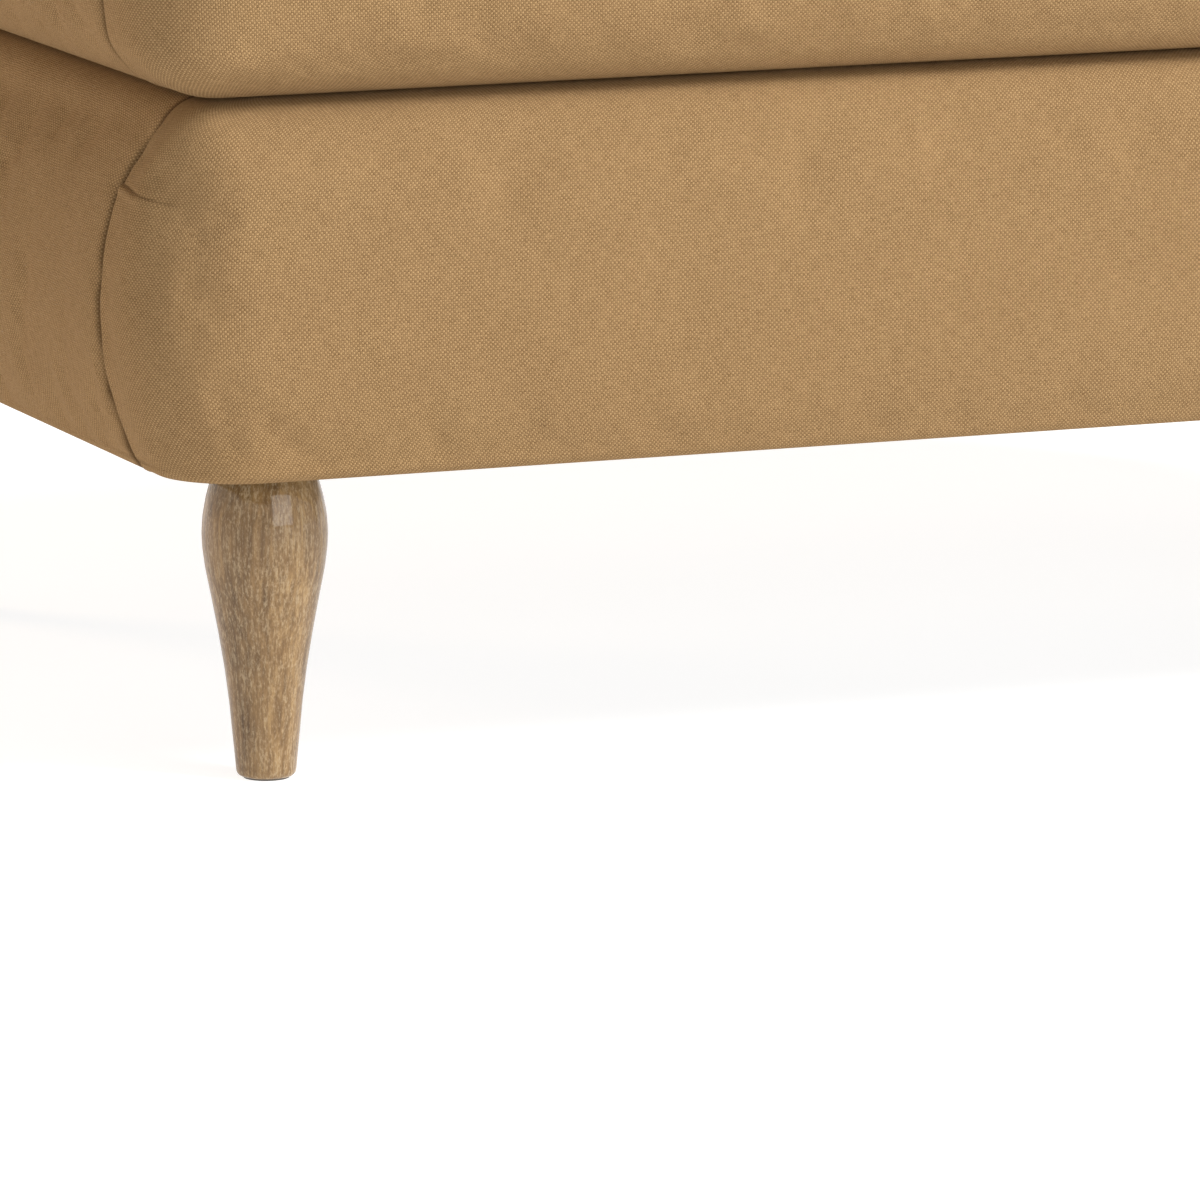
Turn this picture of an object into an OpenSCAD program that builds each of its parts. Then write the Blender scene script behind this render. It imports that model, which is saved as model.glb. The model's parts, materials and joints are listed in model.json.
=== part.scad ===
// Storage ottoman: padded base box on four turned legs, with a padded lid on rear hinges and two folding stays.
// Millimetres, +Z up, X along the width, the front faces -Y, origin on the floor at the middle of the footprint.

/* [View] */
// Which sub-part is drawn

/* [Overall] */
// Width of the base outline at its bottom edge
base_w = 930; // [700:10:1200]
// Depth of the base outline at its bottom edge
base_d = 600; // [400:10:700]
// Height of the legs
leg_h = 150; // [100:5:200]
// Height of the base box
base_h = 180; // [160:5:300]
// Height of the padded lid
lid_h = 114.5; // [70:0.5:130]

/* [Padding] */
// How far the ends swell past the bottom outline
end_swell = 19; // [0:1:30]
// How far the front and back swell past the bottom outline
front_swell = 8; // [0:1:20]
// Height of the fullest line of the padding above the bottom of the base
swell_z = 80; // [50:5:120]
// Radius of the upright corners at the fullest line
corner_r = 50; // [40:1:90]
// Roll of the base padding at the rim
rim_r = 38; // [20:1:50]
// Roll of the lid padding at its lower edge
lid_low_r = 28; // [15:1:40]
// Roll of the lid padding at its upper edge
lid_top_r = 36; // [20:1:60]
// Thickness of the cover cloth with its wadding
cloth_t = 2; // [1:0.5:3]
// Distance of the upright seams behind the front outline
seam_back = 60; // [40:5:90]

/* [Carcass] */
// Thickness of the wall boards
board_t = 15; // [12:1:18]
// Distance of the boards behind the bottom outline
board_inset = 10; // [8:1:15]
// Thickness of the floor board
floor_t = 9; // [6:1:12]
// Height of the corner blocks and cleats
block_h = 28; // [25:1:45]
// Side of a corner block
block_w = 100; // [80:5:120]
// Thickness of the linings
lining_t = 1.5; // [1:0.5:2]

/* [Legs] */
// Distance of the leg axis behind the bottom outline
leg_inset = 60; // [50:1:80]
// Bolt radius
bolt_r = 4; // [3:0.5:5]
// Height of the foot glides
glide_h = 1; // [1:0.5:5]

/* [Hinges] */
// Distance of the hinge axis in front of the fullest line of the back
axis_inset = 16.5; // [14:0.5:18]
// Gap between the rim and the lid
lid_gap = 0.5; // [0.3:0.1:2]
// Spacing of the three hinges
hinge_pitch = 300; // [200:10:380]
// Length of one hinge
hinge_w = 76; // [50:1:100]
// Radius of the hinge barrel
barrel_r = 4; // [3:0.5:5]
// Radius of the hinge pin
pin_r = 2; // [1.5:0.5:3]
// Thickness of the hinge leaves
leaf_t = 1.6; // [1.2:0.1:2.5]

/* [Stays] */
// Length of the lower arm between its pivots, along the lid
arm_run = 205; // [150:5:250]
// Depth of the lid pivot below the hinge axis
lid_pivot_drop = 14; // [12:1:20]
// Distance of the base pivot in front of the hinge axis
base_pivot_run = 46; // [40:1:80]
// Depth of the base pivot below the hinge axis
base_pivot_drop = 110; // [80:5:130]
// Width of the arms
arm_w = 14; // [12:1:20]
// Thickness of the arms
arm_t = 2.5; // [2:0.5:3]
// Radius of the rivets
rivet_r = 3; // [2:0.5:4]

/* [Hidden] */
$fn = 64;

big = 2000;
full_x = base_w / 2 + end_swell;
full_y = base_d / 2 + front_swell;
base_top = leg_h + base_h;
lid_low = base_top + lid_gap;
lid_top = lid_low + lid_h;

board_x = base_w / 2 - board_inset;
board_y = base_d / 2 - board_inset;
room_x = board_x - board_t;
room_y = board_y - board_t;
dust_t = 1;
dust_inset = 14;
wood_low = leg_h + dust_t + cloth_t;
floor_low = wood_low + block_h;
floor_top = floor_low + floor_t;
wood_top = base_top - cloth_t;
edge_skin = 3;
seam_y = base_d / 2 - seam_back;
tuck = room_y - seam_y;

rail_w = 25;
rail_h = 30;
rail_y = room_y - rail_w;

leg_x = base_w / 2 - leg_inset;
leg_y = base_d / 2 - leg_inset;
hole_gap = 0.05;
nut_barrel_r = bolt_r + 1;
nut_barrel_h = 9;
nut_flange_r = 11;
nut_flange_t = 1.5;
bolt_down = 28;
glide_r = 11;
glide_nail_r = 1.5;
glide_nail_h = 12;

hinge_y = full_y - axis_inset;
hinge_z = base_top + lid_gap / 2;
leaf_gap = 0.4;
leaf_run = 34;
knuckles = 5;
knuckle_gap = 0.4;
knuckle_w = hinge_w / knuckles;
pin_gap = 0.06;
notch_h = 6;
hinge_xs = [-hinge_pitch, 0, hinge_pitch];
screw_r = 1.8;
screw_head_r = 3.4;
screw_head_t = 1.2;
frame_screw_l = 32;
frame_screw_inset = 9;
frame_screw_sink = 5;
frame_screw_zs = [35, 110, 145];
hinge_screw_l = 13;
hinge_screw_xs = [-26, 0, 26];
hinge_screw_y = room_y - rail_w / 2;

plate_t = 2;
side_x = room_x - lining_t;
plane_gap = 0.6;
outer_plane = side_x - plate_t - plane_gap;
inner_plane = outer_plane - arm_t - plane_gap;
head_gap = 0.3;
head_t = 1.5;
head_r = 5;
rivet_gap = 0.06;
elbow_gap = 0.3;
base_pivot = [hinge_y - base_pivot_run, hinge_z - base_pivot_drop];
lid_pivot = [hinge_y - arm_run, hinge_z - lid_pivot_drop];
elbow = base_pivot + [-arm_run, -lid_pivot_drop];
bracket_w = 36;
bracket_h = 52;
bracket_screw_y = 11;
bracket_screw_z = 18;
side_screw_l = 12;
lid_flange_w = 26;
lid_bracket_w = 44;
lid_screw_y = 14;

lid_wood_low = lid_low + cloth_t;
lid_board_t = 15;
lid_seam_z = lid_top - lid_top_r * 0.3;
lid_tuck = 34;
corner_ease = 0.5;

cloth_colour = [0.69, 0.55, 0.39];
oak_colour = [0.66, 0.56, 0.44];
ply_colour = [0.80, 0.68, 0.48];
foam_colour = [0.93, 0.90, 0.78];
lining_colour = [0.23, 0.22, 0.21];
steel_colour = [0.72, 0.73, 0.75];
screw_colour = [0.80, 0.78, 0.70];
felt_colour = [0.30, 0.27, 0.24];

// A box given by its low and high corners.
module span_box(low, high) {
    translate(low)
        cube(high - low);
}

// The same thing on the left and on the right.
module both_sides() {
    children();
    mirror([1, 0, 0])
        children();
}

// The same thing at all four corners.
module four_corners() {
    both_sides() {
        children();
        mirror([0, 1, 0])
            children();
    }
}

// A rectangle with four equal round corners.
module round_rect(half_x, half_y, r) {
    square([2 * (half_x - r), 2 * half_y], center = true);
    square([2 * half_x, 2 * (half_y - r)], center = true);
    for (sx = [-1, 1], sy = [-1, 1])
        translate([sx * (half_x - r), sy * (half_y - r)])
            circle(r);
}

// The outline of a padded face from its middle outwards: low edge, swell and rolled top edge.
module rolled_half(half, low, high, low_r, high_r) {
    translate([-half, low + low_r])
        square([2 * half, high - low - low_r - high_r]);
    translate([-half + low_r, low])
        square([2 * (half - low_r), low_r + 1]);
    translate([-half + high_r, high - high_r - 1])
        square([2 * (half - high_r), high_r + 1]);
    for (s = [-1, 1]) {
        translate([s * (half - low_r), low + low_r])
            circle(low_r);
        translate([s * (half - high_r), high - high_r])
            circle(high_r);
    }
}

// A disc band that is widest at one height and passes through a narrower width at the bottom.
module swell_limit(half, swell, peak, low) {
    r = (swell * swell + (peak - low) * (peak - low)) / (2 * swell);
    for (s = [-1, 1])
        intersection() {
            translate([s * (half - r), peak])
                circle(r, $fn = 128);
            translate([s < 0 ? -half : 0, low - 1])
                square([half, big]);
        }
    translate([-half, peak])
        square([2 * half, big]);
    translate([-half + r, low - 1])
        square([max(1, 2 * (half - r)), big]);
}

// Solid swept along X from an outline in Y and Z.
module sweep_x(length) {
    rotate([90, 0, 90])
        linear_extrude(length, center = true)
            children();
}

// Solid swept along Y from an outline in X and Z.
module sweep_y(length) {
    rotate([90, 0, 0])
        linear_extrude(length, center = true)
            children();
}

// The padded base as one solid, drawn in by a skin thickness.
module base_form(skin) {
    low_r = max(1, 4 - skin);
    intersection() {
        linear_extrude(base_top + 1)
            round_rect(full_x - skin, full_y - skin, corner_r - skin);
        sweep_x(big)
            intersection() {
                rolled_half(full_y - skin, leg_h + dust_t + skin, base_top - skin, low_r, rim_r - skin);
                swell_limit(full_y - skin, front_swell, leg_h + swell_z, leg_h);
            }
        sweep_y(big)
            intersection() {
                rolled_half(full_x - skin, leg_h + dust_t + skin, base_top - skin, low_r, rim_r - skin);
                swell_limit(full_x - skin, end_swell, leg_h + swell_z, leg_h);
            }
    }
}

// The padded lid as one solid, drawn in by a skin thickness.
module lid_form(skin) {
    intersection() {
        linear_extrude(lid_top + 1)
            round_rect(full_x + corner_ease - skin, full_y + corner_ease - skin, corner_r - skin);
        sweep_x(big)
            rolled_half(full_y - skin, lid_low + skin, lid_top - skin, lid_low_r - skin, lid_top_r - skin);
        sweep_y(big)
            rolled_half(full_x - skin, lid_low + skin, lid_top - skin, lid_low_r - skin, lid_top_r - skin);
    }
}

// The block that the four wall boards are cut from, with rounded upright corners.
module board_block() {
    intersection() {
        translate([0, 0, wood_low])
            linear_extrude(wood_top - wood_low)
                round_rect(board_x, board_y, board_t);
        base_form(edge_skin);
    }
}

// Room for the three hinges in the covers and boards, above and below the hinge axis.
module hinge_room() {
    for (x = hinge_xs) {
        span_box([x - hinge_w / 2 - 1, hinge_y - leaf_run - 1, hinge_z - leaf_gap / 2 - leaf_t],
            [x + hinge_w / 2 + 1, hinge_y, hinge_z + leaf_gap / 2 + leaf_t]);
        translate([x, hinge_y, hinge_z])
            rotate([0, 90, 0])
                cylinder(h = hinge_w + 2, r = barrel_r + 0.5, center = true);
    }
}

// Wider room for the hinges, cut right through the cloth and into the foam.
module hinge_notch() {
    for (x = hinge_xs)
        span_box([x - hinge_w / 2 - 1, hinge_y - leaf_run - 1, hinge_z - notch_h],
            [x + hinge_w / 2 + 1, hinge_y + barrel_r + 1, hinge_z + notch_h]);
}

// Screw with a flat round head, its head's underside at the origin, pointing down.
module screw(length) {
    translate([0, 0, -length])
        cylinder(h = length, r = screw_r, $fn = 24);
    cylinder(h = screw_head_t, r = screw_head_r, $fn = 24);
}

// Places of the hinge screws, at a given height.
module hinge_screw_places(z) {
    for (x = hinge_xs, dx = hinge_screw_xs)
        translate([x + dx, hinge_screw_y, z])
            children();
}

// Places of the screws that hold a base bracket, pointing into the right board.
module side_screw_places() {
    for (dy = [-bracket_screw_y, bracket_screw_y], dz = [-bracket_screw_z, bracket_screw_z])
        translate([side_x - plate_t, base_pivot[0] + dy, base_pivot[1] + dz])
            rotate([0, -90, 0])
                children();
}

// Places of the screws that hold a lid bracket, pointing up into the lid board.
module lid_screw_places() {
    for (dy = [-lid_screw_y, lid_screw_y])
        translate([outer_plane - lid_flange_w / 2, lid_pivot[0] + dy, lid_low - plate_t])
            mirror([0, 0, 1])
                children();
}

// Places of the screws through the front and back boards into the end boards.
module frame_screw_places() {
    four_corners()
        for (z = frame_screw_zs)
            translate([board_x - frame_screw_inset, board_y - frame_screw_sink, leg_h + z])
                rotate([-90, 0, 0])
                    children();
}

// Wall of boards between two depths, cut for the frame screws and the hinges.
module wall(low, high) {
    difference() {
        intersection() {
            board_block();
            span_box(low, high);
        }
        span_box([-room_x, -room_y, 0], [room_x, room_y, big]);
        frame_screw_places()
            screw(frame_screw_l + 1);
        frame_screw_places()
            cylinder(h = 10, r = screw_head_r);
        hinge_room();
        both_sides()
            side_screw_places()
                screw(side_screw_l);
    }
}

module front_board() {
    color(ply_colour)
        wall([-big, -big, 0], [big, -room_y, big]);
}

module back_board() {
    color(ply_colour)
        wall([-big, room_y, 0], [big, big, big]);
}

module left_board() {
    color(ply_colour)
        wall([-big, -room_y, 0], [0, room_y, big]);
}

module right_board() {
    color(ply_colour)
        wall([0, -room_y, 0], [big, room_y, big]);
}

module floor_board() {
    color(ply_colour)
        span_box([-room_x, -room_y, floor_low], [room_x, room_y, floor_top]);
}

// Cleat under the long edge of the floor, between two corner blocks.
module long_cleat() {
    color(ply_colour)
        span_box([-room_x + block_w, -room_y, wood_low], [room_x - block_w, -room_y + 25, floor_low]);
}

module front_cleat() {
    long_cleat();
}

module back_cleat() {
    mirror([0, 1, 0])
        long_cleat();
}

module right_cleat() {
    color(ply_colour)
        span_box([room_x - 25, -room_y + block_w, wood_low], [room_x, room_y - block_w, floor_low]);
}

module left_cleat() {
    mirror([1, 0, 0])
        right_cleat();
}

module corner_blocks() {
    color(ply_colour)
        four_corners()
            difference() {
                span_box([room_x - block_w, room_y - block_w, wood_low], [room_x, room_y, floor_low]);
                translate([leg_x, leg_y, 0])
                    cylinder(h = big, r = bolt_r + hole_gap);
                translate([leg_x, leg_y, floor_low - nut_barrel_h])
                    cylinder(h = big, r = nut_barrel_r);
                translate([leg_x, leg_y, floor_low - nut_flange_t])
                    cylinder(h = big, r = nut_flange_r);
            }
}

module hinge_rail() {
    color(ply_colour)
        difference() {
            span_box([-room_x, rail_y, wood_top - rail_h], [room_x, room_y, wood_top]);
            hinge_room();
            hinge_screw_places(0)
                cylinder(h = big, r = screw_r);
        }
}

module frame_screws() {
    color(screw_colour)
        frame_screw_places()
            screw(frame_screw_l);
}

// Foam between the boards and the base covers, kept to a range of depths.
module base_foam(low, high) {
    color(foam_colour)
        difference() {
            intersection() {
                base_form(cloth_t);
                span_box(low, high);
            }
            board_block();
            span_box([-room_x, -room_y, 0], [room_x, room_y, big]);
            span_box([-board_x, -board_y, 0], [board_x, board_y, wood_low]);
            hinge_notch();
        }
}

module front_foam() {
    base_foam([-big, -big, 0], [big, -board_y + board_t, big]);
}

module back_foam() {
    base_foam([-big, board_y - board_t, 0], [big, big, big]);
}

module left_foam() {
    base_foam([-big, -room_y, 0], [-room_x, room_y, big]);
}

module right_foam() {
    base_foam([room_x, -room_y, 0], [big, room_y, big]);
}

// Cloth skin of the base, open over the storage room and under the floor.
module base_skin(low, high) {
    color(cloth_colour)
        difference() {
            intersection() {
                base_form(0);
                span_box(low, high);
            }
            base_form(cloth_t);
            span_box([-room_x, -room_y, 0], [room_x, room_y, big]);
            hinge_notch();
        }
}

// Tucked hem of cloth under the boards.
module hem(low, high) {
    color(cloth_colour)
        intersection() {
            difference() {
                span_box([-room_x, -room_y, leg_h + dust_t], [room_x, room_y, wood_low]);
                span_box([tuck - room_x, tuck - room_y, 0], [room_x - tuck, room_y - tuck, big]);
                four_corners()
                    translate([leg_x, leg_y, 0])
                        cylinder(h = big, r = bolt_r + hole_gap);
            }
            span_box(low, high);
        }
}

module front_cover() {
    base_skin([-big, -big, 0], [big, -seam_y, big]);
    hem([-big, -big, 0], [big, -seam_y, big]);
}

module back_cover() {
    base_skin([-big, seam_y, 0], [big, big, big]);
    hem([-big, seam_y, 0], [big, big, big]);
}

module left_end_cover() {
    base_skin([-big, -seam_y, 0], [0, seam_y, big]);
    hem([-big, -seam_y, 0], [0, seam_y, big]);
}

module right_end_cover() {
    base_skin([0, -seam_y, 0], [big, seam_y, big]);
    hem([0, -seam_y, 0], [big, seam_y, big]);
}

// The space that the lining wraps, drawn in by a skin thickness: the storage room less the hinge rail.
module lined_room(skin) {
    difference() {
        span_box([skin - room_x, skin - room_y, floor_top + skin], [room_x - skin, room_y - skin, wood_top]);
        span_box([-big, rail_y - skin, wood_top - rail_h - skin], [big, big, big]);
    }
}

module storage_lining() {
    color(lining_colour)
        difference() {
            lined_room(0);
            lined_room(lining_t);
            both_sides()
                side_screw_places()
                    screw(side_screw_l);
        }
}

module dust_cover() {
    color(lining_colour)
        difference() {
            translate([0, 0, leg_h])
                linear_extrude(dust_t)
                    round_rect(base_w / 2 - dust_inset, base_d / 2 - dust_inset, corner_r - dust_inset);
            four_corners()
                translate([leg_x, leg_y, 0])
                    cylinder(h = big, r = bolt_r + hole_gap);
        }
}

// Half outline of a turned leg, as radius and height above the floor.
leg_outline = [[0, glide_h], [11.5, glide_h], [13.6, glide_h + 1], [14.6, glide_h + 3.5], [16.3, 25], [19.8, 53],
    [24.4, 81], [27.6, 102], [29.4, 112], [30, 120], [29.3, 128], [27.2, 138], [25, 145], [23.5, 150], [0, 150]];

// Turned leg with a hanger bolt hole in its top and a nail hole in its foot.
module leg() {
    color(oak_colour)
        difference() {
            rotate_extrude()
                polygon([for (p = leg_outline) [p[0], p[1] * leg_h / 150]]);
            translate([0, 0, leg_h - bolt_down])
                cylinder(h = big, r = bolt_r);
            cylinder(h = glide_h + glide_nail_h, r = glide_nail_r, $fn = 24);
        }
}

module front_left_leg() {
    translate([-leg_x, -leg_y, 0])
        leg();
}

module front_right_leg() {
    translate([leg_x, -leg_y, 0])
        leg();
}

module back_left_leg() {
    translate([-leg_x, leg_y, 0])
        leg();
}

module back_right_leg() {
    translate([leg_x, leg_y, 0])
        leg();
}

module leg_bolts() {
    color(screw_colour)
        four_corners()
            translate([leg_x, leg_y, leg_h - bolt_down])
                cylinder(h = bolt_down + dust_t + cloth_t + block_h - 1, r = bolt_r);
}

module tee_nuts() {
    color(screw_colour)
        four_corners()
            translate([leg_x, leg_y, floor_low - nut_barrel_h])
                difference() {
                    union() {
                        cylinder(h = nut_barrel_h, r = nut_barrel_r);
                        translate([0, 0, nut_barrel_h - nut_flange_t])
                            cylinder(h = nut_flange_t, r = nut_flange_r);
                    }
                    cylinder(h = big, r = bolt_r + hole_gap, center = true);
                }
}

module foot_glides() {
    color(felt_colour)
        four_corners()
            translate([leg_x, leg_y, 0]) {
                cylinder(h = glide_h, r = glide_r);
                cylinder(h = glide_h + glide_nail_h, r = glide_nail_r, $fn = 24);
            }
}

// One hinge leaf with its knuckles, as seen by the base; every second knuckle from a first one.
module hinge_leaf(first, bore_r) {
    difference() {
        union() {
            span_box([-hinge_w / 2, -leaf_run, -leaf_gap / 2 - leaf_t], [hinge_w / 2, 0, -leaf_gap / 2]);
            for (k = [first : 2 : knuckles - 1])
                translate([(k + 0.5) * knuckle_w - hinge_w / 2, 0, 0])
                    rotate([0, 90, 0])
                        cylinder(h = knuckle_w - knuckle_gap, r = barrel_r, center = true);
        }
        for (k = [1 - first : 2 : knuckles])
            translate([(k + 0.5) * knuckle_w - hinge_w / 2, 0, 0])
                rotate([0, 90, 0])
                    cylinder(h = knuckle_w + knuckle_gap, r = barrel_r + 0.4, center = true);
        rotate([0, 90, 0])
            cylinder(h = hinge_w + 2, r = bore_r, center = true);
        for (x = hinge_screw_xs)
            translate([x, hinge_screw_y - hinge_y, 0]) {
                cylinder(h = 20, r = screw_r, center = true);
                translate([0, 0, -leaf_gap / 2 - screw_head_t])
                    cylinder(h = 20, r = screw_head_r);
            }
    }
}

module hinge_base_leaves() {
    color(steel_colour)
        for (x = hinge_xs)
            translate([x, hinge_y, hinge_z])
                hinge_leaf(0, pin_r);
}

module hinge_lid_leaves() {
    color(steel_colour)
        for (x = hinge_xs)
            translate([x, hinge_y, hinge_z])
                mirror([0, 0, 1])
                    hinge_leaf(1, pin_r + pin_gap);
}

module hinge_pins() {
    color(steel_colour)
        for (x = hinge_xs)
            translate([x, hinge_y, hinge_z])
                rotate([0, 90, 0])
                    cylinder(h = hinge_w, r = pin_r, center = true);
}

module hinge_base_screws() {
    color(screw_colour)
        hinge_screw_places(hinge_z - leaf_gap / 2 - screw_head_t)
            screw(hinge_screw_l);
}

module hinge_lid_screws() {
    color(screw_colour)
        hinge_screw_places(hinge_z + leaf_gap / 2 + screw_head_t)
            mirror([0, 0, 1])
                screw(hinge_screw_l);
}

// A point of a stay, given as depth and height, in one of the two arm planes.
module stay_place(x, point) {
    translate([x, point[0], point[1]])
        rotate([0, 90, 0])
            children();
}

// A flat arm with round ends between two points, its outer face in a given plane.
module stay_arm(x, start, stop, start_hole, stop_hole) {
    run = stop - start;
    color(steel_colour)
        difference() {
            union() {
                for (p = [start, stop])
                    stay_place(x - arm_t, p)
                        cylinder(h = arm_t, r = arm_w / 2);
                translate([x - arm_t, start[0], start[1]])
                    rotate([atan2(run[1], run[0]), 0, 0])
                        translate([0, 0, -arm_w / 2])
                            cube([arm_t, norm(run), arm_w]);
            }
            stay_place(x - arm_t - 1, start)
                cylinder(h = arm_t + 2, r = start_hole);
            stay_place(x - arm_t - 1, stop)
                cylinder(h = arm_t + 2, r = stop_hole);
        }
}

// A rivet from an outer face inwards, with a head past the piece that turns on it.
module rivet(outer, inner, point) {
    color(steel_colour) {
        stay_place(inner - head_gap - head_t, point)
            cylinder(h = outer - inner + head_gap + head_t, r = rivet_r);
        stay_place(inner - head_gap - head_t, point)
            cylinder(h = head_t, r = head_r);
    }
}

module right_lower_arm() {
    stay_arm(outer_plane, base_pivot, elbow, rivet_r + rivet_gap, rivet_r);
}

module left_lower_arm() {
    mirror([1, 0, 0])
        right_lower_arm();
}

module right_upper_arm() {
    stay_arm(inner_plane, lid_pivot, elbow, rivet_r + rivet_gap, rivet_r + elbow_gap);
}

module left_upper_arm() {
    mirror([1, 0, 0])
        right_upper_arm();
}

module right_elbow_rivet() {
    rivet(outer_plane, inner_plane - arm_t, elbow);
}

module left_elbow_rivet() {
    mirror([1, 0, 0])
        right_elbow_rivet();
}

module stay_base_brackets() {
    color(steel_colour)
        both_sides()
            difference() {
                translate([side_x - plate_t, base_pivot[0] - bracket_w / 2, base_pivot[1] - bracket_h / 2])
                    cube([plate_t, bracket_w, bracket_h]);
                stay_place(side_x - plate_t - 1, base_pivot)
                    cylinder(h = plate_t + 2, r = rivet_r);
                side_screw_places()
                    cylinder(h = 20, r = screw_r, center = true);
                side_screw_places()
                    translate([0, 0, -screw_head_t])
                        cylinder(h = 20, r = screw_head_r);
            }
}

module base_bracket_screws() {
    color(screw_colour)
        both_sides()
            side_screw_places()
                translate([0, 0, -screw_head_t])
                    screw(side_screw_l - screw_head_t);
}

module base_rivets() {
    both_sides()
        rivet(side_x, outer_plane - arm_t, base_pivot);
}

module stay_lid_brackets() {
    color(steel_colour)
        both_sides()
            difference() {
                union() {
                    stay_place(outer_plane - arm_t, lid_pivot)
                        cylinder(h = arm_t, r = arm_w / 2);
                    translate([outer_plane - arm_t, lid_pivot[0] - arm_w / 2, lid_pivot[1]])
                        cube([arm_t, arm_w, lid_low - lid_pivot[1]]);
                    translate([outer_plane - lid_flange_w, lid_pivot[0] - lid_bracket_w / 2, lid_low - plate_t])
                        cube([lid_flange_w, lid_bracket_w, plate_t]);
                }
                stay_place(outer_plane - arm_t - 1, lid_pivot)
                    cylinder(h = arm_t + 2, r = rivet_r);
                lid_screw_places()
                    cylinder(h = 20, r = screw_r, center = true);
            }
}

module lid_bracket_screws() {
    color(screw_colour)
        both_sides()
            lid_screw_places()
                screw(side_screw_l);
}

module lid_rivets() {
    both_sides()
        rivet(outer_plane, inner_plane - arm_t, lid_pivot);
}

// Outline of the lid lining and of the opening in the hem of the lid covers.
module lid_hem_opening(low, high) {
    translate([0, 0, low])
        linear_extrude(high - low)
            round_rect(board_x - lid_tuck, board_y - lid_tuck, 20);
}

module lid_board() {
    color(ply_colour)
        difference() {
            intersection() {
                translate([0, 0, lid_wood_low])
                    linear_extrude(lid_board_t)
                        round_rect(board_x, board_y, board_t);
                lid_form(edge_skin);
            }
            hinge_room();
            hinge_screw_places(0)
                cylinder(h = hinge_z + leaf_gap / 2 + screw_head_t + hinge_screw_l, r = screw_r);
            both_sides()
                lid_screw_places()
                    screw(side_screw_l);
        }
}

module lid_foam() {
    color(foam_colour)
        difference() {
            lid_form(cloth_t);
            linear_extrude(lid_wood_low + lid_board_t)
                round_rect(board_x, board_y, board_t);
            hinge_notch();
        }
}

// Cloth skin of the lid with the opening in its hem.
module lid_skin() {
    difference() {
        lid_form(0);
        lid_form(cloth_t);
        lid_hem_opening(0, lid_wood_low + 1);
        hinge_notch();
        both_sides()
            lid_screw_places()
                screw(side_screw_l);
    }
}

// The part of the lid skin between two corners of a box.
module lid_panel(low, high) {
    color(cloth_colour)
        intersection() {
            lid_skin();
            span_box(low, high);
        }
}

module lid_top_cover() {
    lid_panel([-big, -big, lid_seam_z], [big, big, big]);
}

module lid_front_band() {
    lid_panel([-big, -big, 0], [big, -seam_y, lid_seam_z]);
}

module lid_back_band() {
    lid_panel([-big, seam_y, 0], [big, big, lid_seam_z]);
}

module lid_right_band() {
    lid_panel([0, -seam_y, 0], [big, seam_y, lid_seam_z]);
}

module lid_left_band() {
    lid_panel([-big, -seam_y, 0], [0, seam_y, lid_seam_z]);
}

module lid_lining() {
    color(lining_colour)
        difference() {
            lid_hem_opening(lid_low, lid_wood_low);
            hinge_room();
            both_sides()
                lid_screw_places()
                    screw(side_screw_l);
        }
}

front_board();
back_board();
left_board();
right_board();
floor_board();
front_cleat();
back_cleat();
left_cleat();
right_cleat();
corner_blocks();
hinge_rail();
frame_screws();
front_foam();
back_foam();
left_foam();
right_foam();
front_cover();
back_cover();
left_end_cover();
right_end_cover();
storage_lining();
dust_cover();
front_left_leg();
front_right_leg();
back_left_leg();
back_right_leg();
leg_bolts();
tee_nuts();
foot_glides();
hinge_base_leaves();
hinge_pins();
hinge_base_screws();
stay_base_brackets();
base_bracket_screws();
base_rivets();
lid_board();
lid_foam();
lid_top_cover();
lid_front_band();
lid_back_band();
lid_left_band();
lid_right_band();
lid_lining();
hinge_lid_leaves();
hinge_lid_screws();
stay_lid_brackets();
lid_bracket_screws();
lid_rivets();
left_lower_arm();
right_lower_arm();
left_upper_arm();
right_upper_arm();
left_elbow_rivet();
right_elbow_rivet();
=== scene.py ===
"""Storage ottoman on the CAD frame: sewn covers, turned oak legs, linings and stays, in a plain studio."""
import json
import math

import bpy
import numpy as np
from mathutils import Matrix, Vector


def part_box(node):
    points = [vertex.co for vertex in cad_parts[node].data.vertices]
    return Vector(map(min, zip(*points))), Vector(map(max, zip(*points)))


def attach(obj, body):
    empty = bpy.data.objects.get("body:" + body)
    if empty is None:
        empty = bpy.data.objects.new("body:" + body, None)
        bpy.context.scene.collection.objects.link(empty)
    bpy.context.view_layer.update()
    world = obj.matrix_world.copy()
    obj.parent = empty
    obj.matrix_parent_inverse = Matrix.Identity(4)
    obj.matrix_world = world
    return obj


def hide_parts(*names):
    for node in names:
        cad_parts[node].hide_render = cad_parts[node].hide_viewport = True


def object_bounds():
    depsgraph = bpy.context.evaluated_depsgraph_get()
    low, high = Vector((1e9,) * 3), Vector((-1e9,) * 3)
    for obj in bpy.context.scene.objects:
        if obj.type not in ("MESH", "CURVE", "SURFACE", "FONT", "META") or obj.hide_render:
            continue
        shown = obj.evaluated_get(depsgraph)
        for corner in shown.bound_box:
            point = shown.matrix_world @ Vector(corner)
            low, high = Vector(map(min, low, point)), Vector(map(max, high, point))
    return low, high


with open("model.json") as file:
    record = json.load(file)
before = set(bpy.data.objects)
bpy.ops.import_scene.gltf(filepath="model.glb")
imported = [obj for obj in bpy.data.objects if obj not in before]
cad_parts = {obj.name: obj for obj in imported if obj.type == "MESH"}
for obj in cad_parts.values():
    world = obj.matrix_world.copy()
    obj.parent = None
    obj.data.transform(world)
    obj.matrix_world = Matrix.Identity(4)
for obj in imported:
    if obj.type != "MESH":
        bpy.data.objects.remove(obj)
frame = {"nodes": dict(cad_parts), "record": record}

MM = 0.001
cad_bounds = [list(corner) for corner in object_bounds()]

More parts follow.
